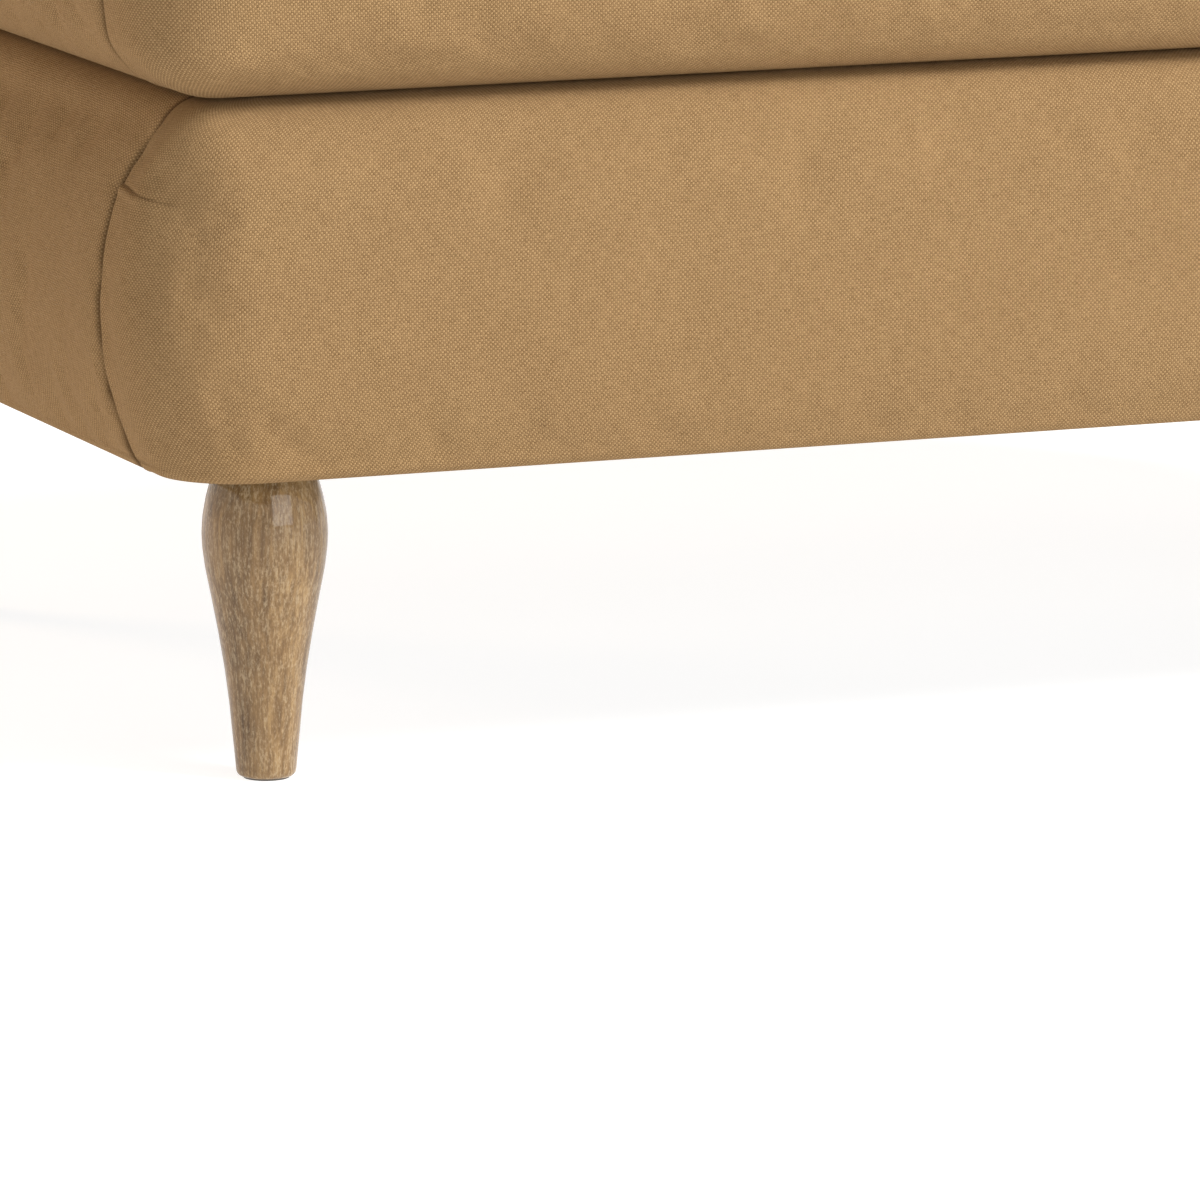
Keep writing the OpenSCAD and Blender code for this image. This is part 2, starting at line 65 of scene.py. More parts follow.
# Sizes read from the frame, in metres.
FULL_X, FULL_Y, LID_TOP = cad_bounds[1]
BASE_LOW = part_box("front_left_leg")[1].z
BASE_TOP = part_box("front_cover")[1].z
LID_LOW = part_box("lid_lining")[0].z
ROOM_LOW, ROOM_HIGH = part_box("storage_lining")
RAIL_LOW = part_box("hinge_rail")[0]
SEAM_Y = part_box("right_end_cover")[1].y
BASE_H = BASE_TOP - BASE_LOW
LID_H = LID_TOP - LID_LOW

ARC_STEPS = 90
LEAST_R = 2
SEAM_GIVE = 70 * MM


# ---------------------------------------------------------------- numbers

def smooth(low, high, x):
    """0 below low, 1 above high, smooth in between."""
    t = np.clip((x - low) / (high - low), 0, 1)
    return t * t * (3 - 2 * t)


def bump(x, width):
    """A soft bell, 1 at 0."""
    return np.exp(-(x / width) ** 2)


def waves(u, v, seed, length, count=14):
    """Smooth random undulation over a surface, about -1 to 1, with bumps of about the given length."""
    rng = np.random.default_rng(seed)
    total = np.zeros(np.broadcast(u, v).shape)
    for _ in range(count):
        angle = rng.uniform(0, math.pi)
        k = 2 * math.pi / (length * rng.uniform(0.6, 1.8))
        phase = rng.uniform(0, 2 * math.pi)
        total = total + np.sin(k * (u * math.cos(angle) + v * math.sin(angle)) + phase)
    return total / math.sqrt(count) / 1.4


def steps(length, first, grow, largest):
    """Positions from 0 to length, closer together at both ends."""
    half = [0.0]
    step = first
    while half[-1] < length / 2:
        half.append(half[-1] + min(step, largest(half[-1])))
        step *= grow
    half = np.array(half[:-1])
    middle = length / 2
    scale = middle / (half[-1] + min(step, largest(half[-1])) / 2)
    half = half * scale
    return np.concatenate([half, length - half[::-1]])


def along(points):
    """Distance along a polyline at each of its points."""
    gaps = np.linalg.norm(np.diff(points, axis=0), axis=1)
    return np.concatenate([[0], np.cumsum(gaps)])


def resample(points, fractions):
    """Points at given shares of a polyline's length."""
    s = along(points)
    at = np.asarray(fractions) * s[-1]
    return np.stack([np.interp(at, s, points[:, k]) for k in range(points.shape[1])], -1)


# ---------------------------------------------------------------- outlines

def front_line(hx, hy, r, y_seam):
    """The front of a rounded rectangle from the left seam to the right one."""
    a = np.linspace(0, math.pi / 2, ARC_STEPS)
    corner = np.stack([-(hx - r) - r * np.cos(a), -(hy - r) - r * np.sin(a)], -1)
    left = np.concatenate([[[-hx, 0]], corner])
    cut = np.interp(y_seam, -left[:, 1], np.arange(len(left)))
    first = np.array([np.interp(cut, np.arange(len(left)), left[:, k]) for k in (0, 1)])
    left = np.concatenate([[first], left[int(cut) + 1:]])
    return np.concatenate([left, left[::-1] * [-1, 1]])


def end_line(hx, hy, r, y_seam):
    """The left end of a rounded rectangle from the back seam to the front one."""
    a = np.linspace(math.pi / 2, 0, ARC_STEPS)
    corner = np.stack([-(hx - r) - r * np.cos(a), (hy - r) + r * np.sin(a)], -1)
    half = np.concatenate([corner, [[-hx, 0]]])
    cut = np.interp(y_seam, half[::-1, 1], np.arange(len(half))[::-1])
    first = np.array([np.interp(cut, np.arange(len(half)), half[:, k]) for k in (0, 1)])
    half = np.concatenate([[first], half[int(cut) + 1:]])
    return np.concatenate([half, half[::-1][1:] * [1, -1]])


def surface(rows, line, fractions):
    """A grid of points, one row for each (inset_x, inset_y, corner radius, height, seam) in millimetres.
    Where a row's seam is out of line with the others, only the cloth near that seam gives way."""
    grid = []
    for inset_x, inset_y, r, z, seam in rows:
        size = FULL_X - inset_x * MM, FULL_Y - inset_y * MM, max(r, LEAST_R) * MM
        own = line(*size, seam * MM)
        length, own_length = along(line(*size, SEAM_Y))[-1], along(own)[-1]
        shift = (length - own_length) / 2
        at = np.asarray(fractions) * length
        near_left = np.clip(1 - at / SEAM_GIVE, 0, 1) ** 2
        near_right = np.clip(1 - (length - at) / SEAM_GIVE, 0, 1) ** 2
        at = at - shift * (1 - near_left) - shift * near_right
        flat = resample(own, at / own_length)
        grid.append(np.concatenate([flat, np.full((len(flat), 1), z * MM)], 1))
    return np.array(grid)


def rounded_grid(hx, hy, r, first, grow, largest_x, largest_y):
    """Points within a level rounded rectangle, as lines along its width, with each line's half length."""
    spread = steps(2 * hy, first, grow, lambda d: largest_y) - hy
    share = steps(2.0, first / hx, grow, lambda d: largest_x / hx) - 1
    past = np.maximum(np.abs(spread) - (hy - r), 0)
    half = (hx - r + np.sqrt(np.maximum(r * r - past * past, 0)))[:, None]
    x = share[None, :] * half
    return x, np.broadcast_to(spread[:, None], x.shape), half


def row_near(rows, z):
    """Number of the row nearest to a height."""
    return int(np.argmin([abs(row[3] - z) for row in rows]))


def normals(grid):
    """Unit normals of a grid of points, outwards for rows that go up."""
    across = np.gradient(grid, axis=1)
    up = np.gradient(grid, axis=0)
    n = np.cross(across, up)
    return n / np.maximum(np.linalg.norm(n, axis=2, keepdims=True), 1e-12)


def cloth_uv(grid, zero_row):
    """Cloth coordinates in metres: across along one row, up along each column from that row."""
    u = along(grid[zero_row])
    gaps = np.linalg.norm(np.diff(grid, axis=0), axis=2)
    v = np.concatenate([np.zeros((1, grid.shape[1])), np.cumsum(gaps, axis=0)])
    v = v - v[zero_row]
    return np.stack([np.broadcast_to(u - u.mean(), v.shape), v], -1)


# ---------------------------------------------------------------- base profile, in mm from its bottom

BASE_MM = BASE_H / MM
CORNER_R = 50.0
SWELL_Z = 80.0
END_SWELL = 19.0
END_BOW_R = 202
END_LEAN = 0.40
END_ROLL_Z, END_ROLL_TALL, END_ROLL_WIDE = 165.0, 25.0, 24.0
FRONT_SWELL = 8.0
FRONT_LOW_Z = 70
FRONT_BOW_R = 240
FRONT_BOW_Z = 110
FRONT_ROLL_Z, FRONT_ROLL_TALL, FRONT_ROLL_WIDE = 153.0, 33.8, 30.0
LOW_CORNER_DROP = 8
TOP_CORNER_DROP, TOP_CORNER_LOW, TOP_CORNER_HIGH = 14, 128, 178
LEAST_CORNER = 10
DART_Z = 137.5
DART_L = 52.0
DART_DROP = 5.5
SEAM_BOW, SEAM_BOW_Z, SEAM_BACK = 0.00108, 48, 6
DART_STEP = 0.4
SEAM_LEAN, SEAM_LEAN_TALL = 0.65, 30
HEM_R = 6.0
RIM_R = 3.0
BOARD_COVER = 0.8
RIM_INSET_X = (FULL_X - ROOM_HIGH.x) / MM - BOARD_COVER
RIM_INSET_Y = (FULL_Y - ROOM_HIGH.y) / MM - BOARD_COVER
HEM_INNER = (44, 34, 24, 14, 6)
HEM_TURNS = (90, 72, 54, 36, 18)
RIM_TURNS = (30, 60, 90)
RIM_DROPS = (3, 7, 11)
RIM_ROWS = len(RIM_TURNS) + len(RIM_DROPS) + 1
FINE_LOW, FINE_HIGH = 120, 148
DART_ROWS_LOW, DART_ROWS_HIGH = 130.5, 141
MIDDLE_STEP, FINE_STEP = 1.2, 0.42


def roll_inset(z, start, tall, wide, inset):
    """The padding's rolled top edge: a quarter of an ellipse that ends at the top of the base."""
    first = 1 - (BASE_MM - start) / tall
    now = np.clip(1 - (BASE_MM - z) / tall, first, 1)
    return inset + wide * (math.sqrt(1 - first ** 2) - np.sqrt(np.maximum(1 - now ** 2, 0)))


def bow_inset(z, r, start, tall):
    """A circular bow inwards above the height start, as far as it goes over the given height."""
    return r - np.sqrt(r ** 2 - np.clip(z - start, 0, tall) ** 2)


def base_inset_x(z):
    """How far an end of the base stands in from its fullest place."""
    low = END_SWELL * (np.maximum(SWELL_Z - z, 0) / SWELL_Z) ** 2
    high = bow_inset(z, END_BOW_R, SWELL_Z, DART_Z - SWELL_Z)
    lean = high + END_LEAN * np.clip(z - DART_Z, 0, END_ROLL_Z - DART_Z)
    roll = roll_inset(z, END_ROLL_Z, END_ROLL_TALL, END_ROLL_WIDE, lean)
    return np.minimum(np.where(z > END_ROLL_Z, roll, low + lean), RIM_INSET_X)


def base_inset_y(z):
    """How far the front of the base stands in from its fullest place."""
    low = FRONT_SWELL * (np.maximum(FRONT_LOW_Z - z, 0) / FRONT_LOW_Z) ** 2
    high = bow_inset(z, FRONT_BOW_R, FRONT_BOW_Z, FRONT_ROLL_Z - FRONT_BOW_Z)
    roll = roll_inset(z, FRONT_ROLL_Z, FRONT_ROLL_TALL, FRONT_ROLL_WIDE, high)
    return np.minimum(np.where(z > FRONT_ROLL_Z, roll, low + high), RIM_INSET_Y)


def base_corner(z):
    """Corner radius: smaller low down, and tight at the top, over the corner of the boards."""
    low = LOW_CORNER_DROP * (np.maximum(SWELL_Z - z, 0) / SWELL_Z) ** 2
    tight = TOP_CORNER_DROP * smooth(TOP_CORNER_LOW, TOP_CORNER_HIGH, z)
    high = (base_inset_x(z) + base_inset_y(z)) / 2 + tight
    return np.maximum(CORNER_R - np.where(z < SWELL_Z, low, high), LEAST_CORNER)


def base_seam(z):
    """Place of the upright seam: bowed back up to the dart, then a lean towards the front."""
    bow = SEAM_BOW * (np.minimum(z, DART_Z) - SEAM_BOW_Z) ** 2 - SEAM_BACK
    step = DART_STEP * smooth(DART_Z - 1.5, DART_Z + 1.5, z)
    lean = SEAM_LEAN * np.clip(z - DART_Z, 0, SEAM_LEAN_TALL)
    return SEAM_Y / MM + bow + step + lean


def base_heights(start):
    """Heights of the side's rows: closest beside the dart, and closer again over the rolled top edge."""
    low = np.linspace(start, FINE_LOW, 26)
    under_dart = np.arange(FINE_LOW + 1, DART_ROWS_LOW - 0.5, MIDDLE_STEP)
    at_dart = np.arange(DART_ROWS_LOW, DART_ROWS_HIGH, FINE_STEP)
    over_dart = np.arange(DART_ROWS_HIGH + MIDDLE_STEP / 2, FINE_HIGH, MIDDLE_STEP)
    top = BASE_MM - (BASE_MM - FINE_HIGH) * (1 - np.sin(np.radians(np.linspace(0, 90, 20))))[1:]
    return np.concatenate([low, under_dart, at_dart, over_dart, top])


def base_rows():
    """Rows of a base panel: in under the hem, up the side, over the rim and a little down inside."""
    rows = []
    start = HEM_R + 1
    ix, iy, r = base_inset_x(start), base_inset_y(start), base_corner(start)
    for inner in HEM_INNER:
        rows.append((ix + HEM_R + inner, iy + HEM_R + inner, r - HEM_R - inner, start - HEM_R, SEAM_Y / MM))
    for a in np.radians(HEM_TURNS):
        turn = HEM_R * (1 - math.cos(a))
        rows.append((ix + turn, iy + turn, r - turn, start - HEM_R * math.sin(a), SEAM_Y / MM))
    for z in base_heights(start):
        rows.append((base_inset_x(z), base_inset_y(z), base_corner(z), z, base_seam(z)))
    ix, iy, r, z, seam = rows[-1]
    for a in np.radians(RIM_TURNS):
        turn = RIM_R * math.sin(a)
        rows.append((ix + turn, iy + turn, r - turn, z - RIM_R * (1 - math.cos(a)), seam))
    for drop in RIM_DROPS:
        rows.append((ix + RIM_R, iy + RIM_R, r - RIM_R, z - RIM_R - drop, seam))
    return rows


# ---------------------------------------------------------------- lid profile, in mm from its bottom

LID_MM = LID_H / MM
LID_SEAM_Z = 101.0
LID_FULL_Z, LID_SWELL_TALL = 56.0, 40
LID_RISE = 0.35
LID_TOP_GAP = 0.8
LID_LOW_ROLL = 30
LID_TOP_ROLL_Z, LID_TOP_ROLL_TALL = 84.0, 22.0
LID_INNER = (26, 18, 10, 4)
LID_CORNER_DROP, LID_CORNER_TALL = 12, 36
EDGE_CROWN, EDGE_CROWN_W = 0.68, 24 * MM
WIDE_CROWN, WIDE_CROWN_W = 0.34, 130 * MM


def lid_side_inset(z, swell, low_z, low_wide, top_wide):
    """Side of the lid: rolled low edge, a gentle swell and the start of the rolled top edge."""
    inset = swell * ((z - LID_FULL_Z) / LID_SWELL_TALL) ** 2
    low = np.clip(1 - z / low_z, 0, 1)
    high = np.clip((z - LID_TOP_ROLL_Z) / LID_TOP_ROLL_TALL, 0, 1)
    return inset + low_wide * (1 - np.sqrt(1 - low ** 2)) + top_wide * (1 - np.sqrt(1 - high ** 2))


def lid_row(z, extra=0.0):
    """A row of a lid boxing at one height, further in by extra."""
    ix = lid_side_inset(z, swell=4.5, low_z=30.0, low_wide=30.0, top_wide=14.0) + extra
    iy = lid_side_inset(z, swell=3.0, low_z=27.0, low_wide=21.0, top_wide=12.0) + extra
    r = CORNER_R - (ix + iy) / 2 - LID_CORNER_DROP * (1 - smooth(0, LID_CORNER_TALL, z))
    return ix, iy, r, z + LID_RISE, SEAM_Y / MM


def lid_rows():
    """Rows of a lid boxing: in under the lid, round its low edge and up to the top seam."""
    turned_in = [lid_row(0.0, inner) for inner in LID_INNER]
    turns = np.radians(np.linspace(0, 90, 16)[:-1])
    rolled = [LID_LOW_ROLL * (1 - math.cos(a)) for a in turns]
    side = np.linspace(LID_LOW_ROLL, LID_TOP_ROLL_Z, 14)
    edge = np.concatenate([np.linspace(86, 96, 6), np.linspace(97, LID_SEAM_Z, 6)])
    return turned_in + [lid_row(z) for z in np.concatenate([rolled, side, edge])]


# ---------------------------------------------------------------- meshes

def add_object(name, vertices, faces, uv=None):
    """A smooth mesh object, with cloth coordinates where it has them."""
    mesh = bpy.data.meshes.new(name)
    mesh.from_pydata([tuple(v) for v in vertices], [], [tuple(f) for f in faces])
    mesh.shade_smooth()
    if uv is not None:
        layer = mesh.uv_layers.new(name="cloth")
        loops = np.zeros(len(mesh.loops), np.int32)
        mesh.loops.foreach_get("vertex_index", loops)
        layer.data.foreach_set("uv", np.asarray(uv, np.float32)[loops].ravel())
    obj = bpy.data.objects.new(name, mesh)
    bpy.context.scene.collection.objects.link(obj)
    return obj


def quads(i):
    """Faces over a grid of vertex numbers."""
    return np.stack([i[:-1, :-1], i[:-1, 1:], i[1:, 1:], i[1:, :-1]], -1).reshape(-1, 4)


def grid_faces(rows, cols):
    return quads(np.arange(rows * cols).reshape(rows, cols))


def grid_object(name, grid, uv):
    """A single sheet of faces over a grid of points."""
    return add_object(name, grid.reshape(-1, 3), grid_faces(*grid.shape[:2]), uv.reshape(-1, 2))


def pad_object(name, cover, back, uv, painted_seam_shade):
    """A closed pad: its cover in front and its hidden back, joined by sharp edges all round, with painted
    seam shade on its points.
    """
    rim = np.ones(cover.shape[:2], bool)
    rim[1:-1, 1:-1] = False
    front = np.arange(rim.size).reshape(rim.shape)
    behind = front.copy()
    behind[~rim] = rim.size + np.arange(np.count_nonzero(~rim))
    faces = np.concatenate([quads(front), quads(behind)[:, ::-1]])
    points = np.concatenate([cover.reshape(-1, 3), back[~rim]])
    obj = add_object(name, points, faces, np.concatenate([uv.reshape(-1, 2), uv[~rim]]))
    on_rim = np.zeros(len(points), bool)
    on_rim[:rim.size] = rim.ravel()
    ends = np.zeros(len(obj.data.edges) * 2, np.int32)
    obj.data.edges.foreach_get("vertices", ends)
    obj.data.edges.foreach_set("use_edge_sharp", on_rim[ends.reshape(-1, 2)].all(1))
    # The painted seam shade is kept on the points, where the cloth's colour reads it.
    layer = obj.data.attributes.new("painted_crease_shade", "FLOAT", "POINT")
    layer.data.foreach_set("value", np.concatenate([painted_seam_shade.ravel(), painted_seam_shade[~rim]]).astype(np.float32))
    return obj


def turned(grid):
    """The same surface turned half round the upright axis."""
    return grid * [-1, -1, 1]


# ---------------------------------------------------------------- cloth simulation

SIM_FRAMES = 16
SIM_CAP = 2.6 * MM
SIM_JITTER = 0.15


def thin_out(positions, gap):
    """Indices of positions that are at least a gap apart, with both ends."""
    keep = [0]
    for i, p in enumerate(positions):
        if p - positions[keep[-1]] >= gap:
            keep.append(i)
    if keep[-1] != len(positions) - 1:
        keep.append(len(positions) - 1)
    return np.array(keep)


def cloth_offset(grid, pinned_rows, seed, gap=8 * MM, pressure=3.0, slack=0.012):
    """How far a simulated cloth moves off the surface: held along its seams and hems, slightly slack, and
    pushed out by the foam behind it. Returned along the normal for every grid point, capped."""
    up = along(grid[:, grid.shape[1] // 2])
    across = along(grid[grid.shape[0] // 2])
    ri, ci = thin_out(up, gap), thin_out(across, gap)
    coarse = grid[np.ix_(ri, ci)]
    n = normals(coarse)
    rng = np.random.default_rng(seed)
    start = coarse + n * rng.uniform(-SIM_JITTER, SIM_JITTER, n.shape[:2])[..., None] * MM
    rows, cols = coarse.shape[:2]
    obj = add_object("cloth_trial", start.reshape(-1, 3), grid_faces(rows, cols))
    held = np.zeros((rows, cols), bool)
    held[:, [0, -1]] = True
    held[pinned_rows(ri)] = True
    group = obj.vertex_groups.new(name="held")
    group.add([int(i) for i in np.flatnonzero(held)], 1.0, "REPLACE")
    cloth = obj.modifiers.new("cloth", "CLOTH")
    s = cloth.settings
    s.quality = 6
    s.mass = 0.25
    s.tension_stiffness = 40
    s.compression_stiffness = 12
    s.shear_stiffness = 8
    s.bending_stiffness = 0.4
    s.air_damping = 5
    s.vertex_group_mass = "held"
    s.shrink_min = -slack
    s.use_pressure = True
    s.uniform_pressure_force = pressure
    s.effector_weights.gravity = 0
    cloth.collision_settings.use_self_collision = False
    scene = bpy.context.scene
    cloth.point_cache.frame_start = 1
    cloth.point_cache.frame_end = SIM_FRAMES
    for f in range(1, SIM_FRAMES + 1):
        scene.frame_set(f)
    result = obj.evaluated_get(bpy.context.evaluated_depsgraph_get()).data
    co = np.zeros(rows * cols * 3, np.float32)
    result.vertices.foreach_get("co", co)
    scene.frame_set(1)
    moved = ((co.reshape(coarse.shape) - coarse) * n).sum(-1)
    bpy.data.objects.remove(obj)
    moved = np.nan_to_num(moved)
    moved = SIM_CAP * np.tanh(moved / SIM_CAP)
    wide = np.array([np.interp(across, across[ci], row) for row in moved])
    return np.array([np.interp(up, up[ri], col) for col in wide.T]).T


# ---------------------------------------------------------------- sewn panels

SEAM_DEPTH, SEAM_FADE = 4.5 * MM, 0.9 * MM
SOFT_DEPTH, SOFT_FADE = 2.2 * MM, 2.4 * MM
LIP_H, LIP_W = 1.4 * MM, 3.4 * MM
PUCKER_H, PUCKER_L, PUCKER_W = 0.3 * MM, 22 * MM, 9 * MM
# Widths of the painted shade beside proud and soft seams.
SHADE_W, SOFT_SHADE_W = 1.7 * MM, 3.0 * MM
HEM_SEAM_SHARE = 0.3
RIM_SEAM_LOSS = 0.75
# How much wider the painted seam shade is at the hem.
HEM_SHADE_GAIN = 0.7
DART_CUT, DART_LIP, DART_SUNK = 0.9 * MM, 0.8 * MM, 0.8 * MM
# Strength of the painted shade along the dart.
DART_SHADE = 0.5
BROAD_WAVE, FINE_WAVE = 0.5 * MM, 0.12 * MM
INNER_LOW, INNER_HIGH = -0.4 * MM, 0.2 * MM
HEM_SEAM_TALL = 55 * MM
# Heights over which the painted seam shade narrows above the hem.
HEM_SHADE_LOW, HEM_SHADE_HIGH = 5 * MM, 70 * MM
RIM_FADE = 26 * MM
HELD_HEM, HELD_RIM, HELD_LID = 8, 3, 5
TOP_PUSH = 0.3 * MM
PAD_T = 8 * MM
PAD_EDGE_T = 2 * MM
PAD_LEAST = 1.5 * MM
PAD_EDGE_W = 8 * MM


def seam_shape(d, along_seam, seed, proud):
    """One side of a sewn seam at distance d: the proud side turns in sharply, the other side dips softly."""
    dip = -SEAM_DEPTH * np.exp(-d / SEAM_FADE) if proud else -SOFT_DEPTH * np.exp(-d / SOFT_FADE)
    lip = LIP_H * bump(d - LIP_W, LIP_W) if proud else 0
    pucker = PUCKER_H * waves(along_seam, along_seam * 0, seed, PUCKER_L) * bump(d - 4 * MM, PUCKER_W)
    return dip + lip + pucker


def painted_crease_shade(d, proud):
    """How much painted shade darkens the cloth beside a seam, 1 at its bottom."""
    return bump(d, SHADE_W if proud else SOFT_SHADE_W)


def side_distances(grid):
    """Distance of every point from the first and from the last column, along its row."""
    gaps = np.linalg.norm(np.diff(grid, axis=1), axis=2)
    left = np.concatenate([np.zeros((grid.shape[0], 1)), np.cumsum(gaps, axis=1)], 1)
    return left, left[:, -1:] - left


def dart_line(d, z):
    """How much of the dart is left at distance d from the seam, and the height over its line."""
    left = np.clip(1 - d / (DART_L * MM), 0, 1)
    return left, z - BASE_LOW - (DART_Z - DART_DROP * (1 - left)) * MM


def dart_shape(d, z):
    """A short dart that starts at the seam and dies out towards the front, a little lower there."""
    left, off = dart_line(d, z)
    near = smooth(1 * MM, 6 * MM, d)
    cut = -DART_CUT * near * left ** 0.5 * bump(off - 0.5 * MM, 0.8 * MM)
    lip = DART_LIP * left ** 0.7 * bump(off + 2.0 * MM, 1.9 * MM)
    sunk = -DART_SUNK * left * bump(off - 2 * MM, 9 * MM) * smooth(-0.5 * MM, 1 * MM, off)
    return cut + lip + sunk


def pad_back(grid, n, d, full):
    """The hidden back of a pad: thin at its edges, thick where full is 1, always a little under the cover."""
    thick = PAD_EDGE_T + (PAD_T - PAD_EDGE_T) * full
    return grid + n * np.minimum(-thick, d - PAD_LEAST)[..., None]


def base_panel(line, spread, seed, front):
    """One side of the base from hem to rim: its cover, its back, its cloth coordinates and its painted seam
    shade.
    """
    rows = base_rows()
    grid = surface(rows, line, spread)
    grid[..., 2] += BASE_LOW
    z = grid[..., 2]
    n = normals(grid)
    left, right = side_distances(grid)
    free = smooth(BASE_LOW + 1 * MM, BASE_LOW + 14 * MM, z)
    free = free * (1 - smooth(BASE_TOP - RIM_FADE, BASE_TOP - 5 * MM, z))
    inner = np.arange(len(rows)) >= len(rows) - RIM_ROWS
    free[inner] = 0
    d = seam_shape(left, z, seed, front) + seam_shape(right, z, seed + 1, front)
    d = d * (HEM_SEAM_SHARE + (1 - HEM_SEAM_SHARE) * smooth(BASE_LOW, BASE_LOW + HEM_SEAM_TALL, z))
    d = d * (1 - RIM_SEAM_LOSS * smooth(BASE_TOP - RIM_FADE, BASE_TOP - 10 * MM, z))
    # Painted shade beside the seams, wider towards the hem.
    off_hem = smooth(BASE_LOW + HEM_SHADE_LOW, BASE_LOW + HEM_SHADE_HIGH, z)
    wider = 1 + HEM_SHADE_GAIN - HEM_SHADE_GAIN * off_hem
    painted_seam_shade = np.maximum(painted_crease_shade(left / wider, front), painted_crease_shade(right / wider, front))
    if front:
        d = d + dart_shape(left, z) + dart_shape(right, z)
        # Painted shade along the dart's line.
        for side in (left, right):
            share, off = dart_line(side, z)
            painted_seam_shade = np.maximum(painted_seam_shade, DART_SHADE * share ** 0.3 * bump(off - 0.6 * MM, 0.55 * MM))
    middle = left - right
    d = d + BROAD_WAVE * waves(middle, z, seed + 2, 160 * MM) * free
    d = d + FINE_WAVE * waves(middle, z, seed + 3, 34 * MM) * free
    low = np.array([row[3] < HELD_HEM for row in rows])
    top = np.array([row[3] > BASE_MM - HELD_RIM for row in rows])
    d = d + cloth_offset(grid, lambda ri: (low | top)[ri], seed) * free
    d[inner] = np.clip(d[inner], INNER_LOW, INNER_HIGH)
    uv = cloth_uv(grid, row_near(rows, SWELL_Z))
    full = smooth(BASE_LOW + PAD_EDGE_W, BASE_LOW + 40 * MM, z)
    full = full * (1 - smooth(BASE_TOP - 45 * MM, BASE_TOP - 20 * MM, z))
    return grid + n * d[..., None], pad_back(grid, n, d, full), uv, painted_seam_shade


def lid_band(line, spread, seed, front):
    """One boxing of the lid, from its rolled low edge to the seam under the top panel."""
    rows = lid_rows()
    grid = surface(rows, line, spread)
    grid[..., 2] += LID_LOW
    z = grid[..., 2]
    n = normals(grid)
    left, right = side_distances(grid)
    free = smooth(LID_LOW + 4 * MM, LID_LOW + 20 * MM, z)
    to_top = np.linalg.norm(grid - grid[-1:], axis=2)
    d = seam_shape(left, z, seed, front) + seam_shape(right, z, seed + 1, front)
    d = d * smooth(LID_LOW - 1 * MM, LID_LOW + 6 * MM, z)
    d = np.minimum(d, 0.4 * MM) + seam_shape(to_top, left, seed + 2, False)
    # Painted shade beside the side seams and under the top seam.
    painted_seam_shade = np.maximum(np.maximum(painted_crease_shade(left, front), painted_crease_shade(right, front)), painted_crease_shade(to_top, False))
    d = d + BROAD_WAVE * waves(left - right, z, seed + 3, 120 * MM) * free
    low = np.array([row[3] < HELD_LID for row in rows])
    high = np.arange(len(rows)) >= len(rows) - 2
    d = d + cloth_offset(grid, lambda ri: (low | high)[ri], seed) * free
    uv = cloth_uv(grid, row_near(rows, LID_FULL_Z))
    full = smooth(LID_LOW + PAD_EDGE_W, LID_LOW + 36 * MM, z)
    return grid + n * d[..., None], pad_back(grid, n, d, full), uv, painted_seam_shade


def lid_top():
    """The crowned top panel, drawn as lines along the width that follow the rounded outline."""
    ix, iy, r = lid_rows()[-1][:3]
    hx, hy, r = FULL_X - ix * MM, FULL_Y - iy * MM, r * MM
    x, y = rounded_grid(hx, hy, r, first=0.8 * MM, grow=1.16, largest_x=6.5 * MM, largest_y=6 * MM)[:2]
    qx, qy = np.abs(x) - (hx - r), np.abs(y) - (hy - r)
    outside = np.hypot(np.maximum(qx, 0), np.maximum(qy, 0))
    depth = r - outside - np.minimum(np.maximum(qx, qy), 0)
    rise = LID_MM - LID_SEAM_Z - LID_RISE - LID_TOP_GAP
    crown = EDGE_CROWN * rise * (1 - np.exp(-depth / EDGE_CROWN_W))
    crown = crown + WIDE_CROWN * rise * (1 - np.exp(-depth / WIDE_CROWN_W))
    grid = np.stack([x, y, np.full(x.shape, LID_LOW + (LID_SEAM_Z + LID_RISE) * MM) + crown * MM], -1)
    n = normals(grid)
    d = seam_shape(depth, x + y, 71, True)
    free = smooth(6 * MM, 40 * MM, depth)
    d = d + BROAD_WAVE * waves(x, y, 72, 190 * MM) * free
    edge = np.zeros(len(x), bool)
    edge[:2] = edge[-2:] = True
    pushed = np.minimum(cloth_offset(grid, lambda ri: edge[ri], 73, gap=12 * MM), TOP_PUSH)
    d = d + pushed * smooth(2 * MM, 12 * MM, depth)
    uv = np.stack([x, y], -1)
    # Last comes the painted shade beside the top panel's edge seam.
    return grid + n * d[..., None], pad_back(grid, n, d, 1), uv, painted_crease_shade(depth, True)


LEAF_L = 76 * MM
LEAF_CLEAR = 2.3 * MM
LEAF_SOFT = 6 * MM


def press_under_hinges(grid, over):
    """Cloth flattened under the hinge leaves, below them on the base or above them on the lid."""
    leaf_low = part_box("hinge_base_leaves")[0]
    pin_low, pin_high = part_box("hinge_pins")
    centre_z = (pin_low.z + pin_high.z) / 2
    pitch = (pin_high.x - pin_low.x - LEAF_L) / 2
    for x in (-pitch, 0, pitch):
        beside = np.abs(grid[..., 0] - x)
        inside = 1 - smooth(LEAF_L / 2 + 0.5 * MM, LEAF_L / 2 + LEAF_SOFT, beside)
        inside = inside * smooth(leaf_low.y - LEAF_SOFT, leaf_low.y - 1 * MM, grid[..., 1])
        z = grid[..., 2]
        if over:
            target = np.maximum(z, centre_z + LEAF_CLEAR)
        else:
            target = np.minimum(z, centre_z - LEAF_CLEAR)
        grid[..., 2] = z + (target - z) * inside
    return grid


# ---------------------------------------------------------------- shader helpers

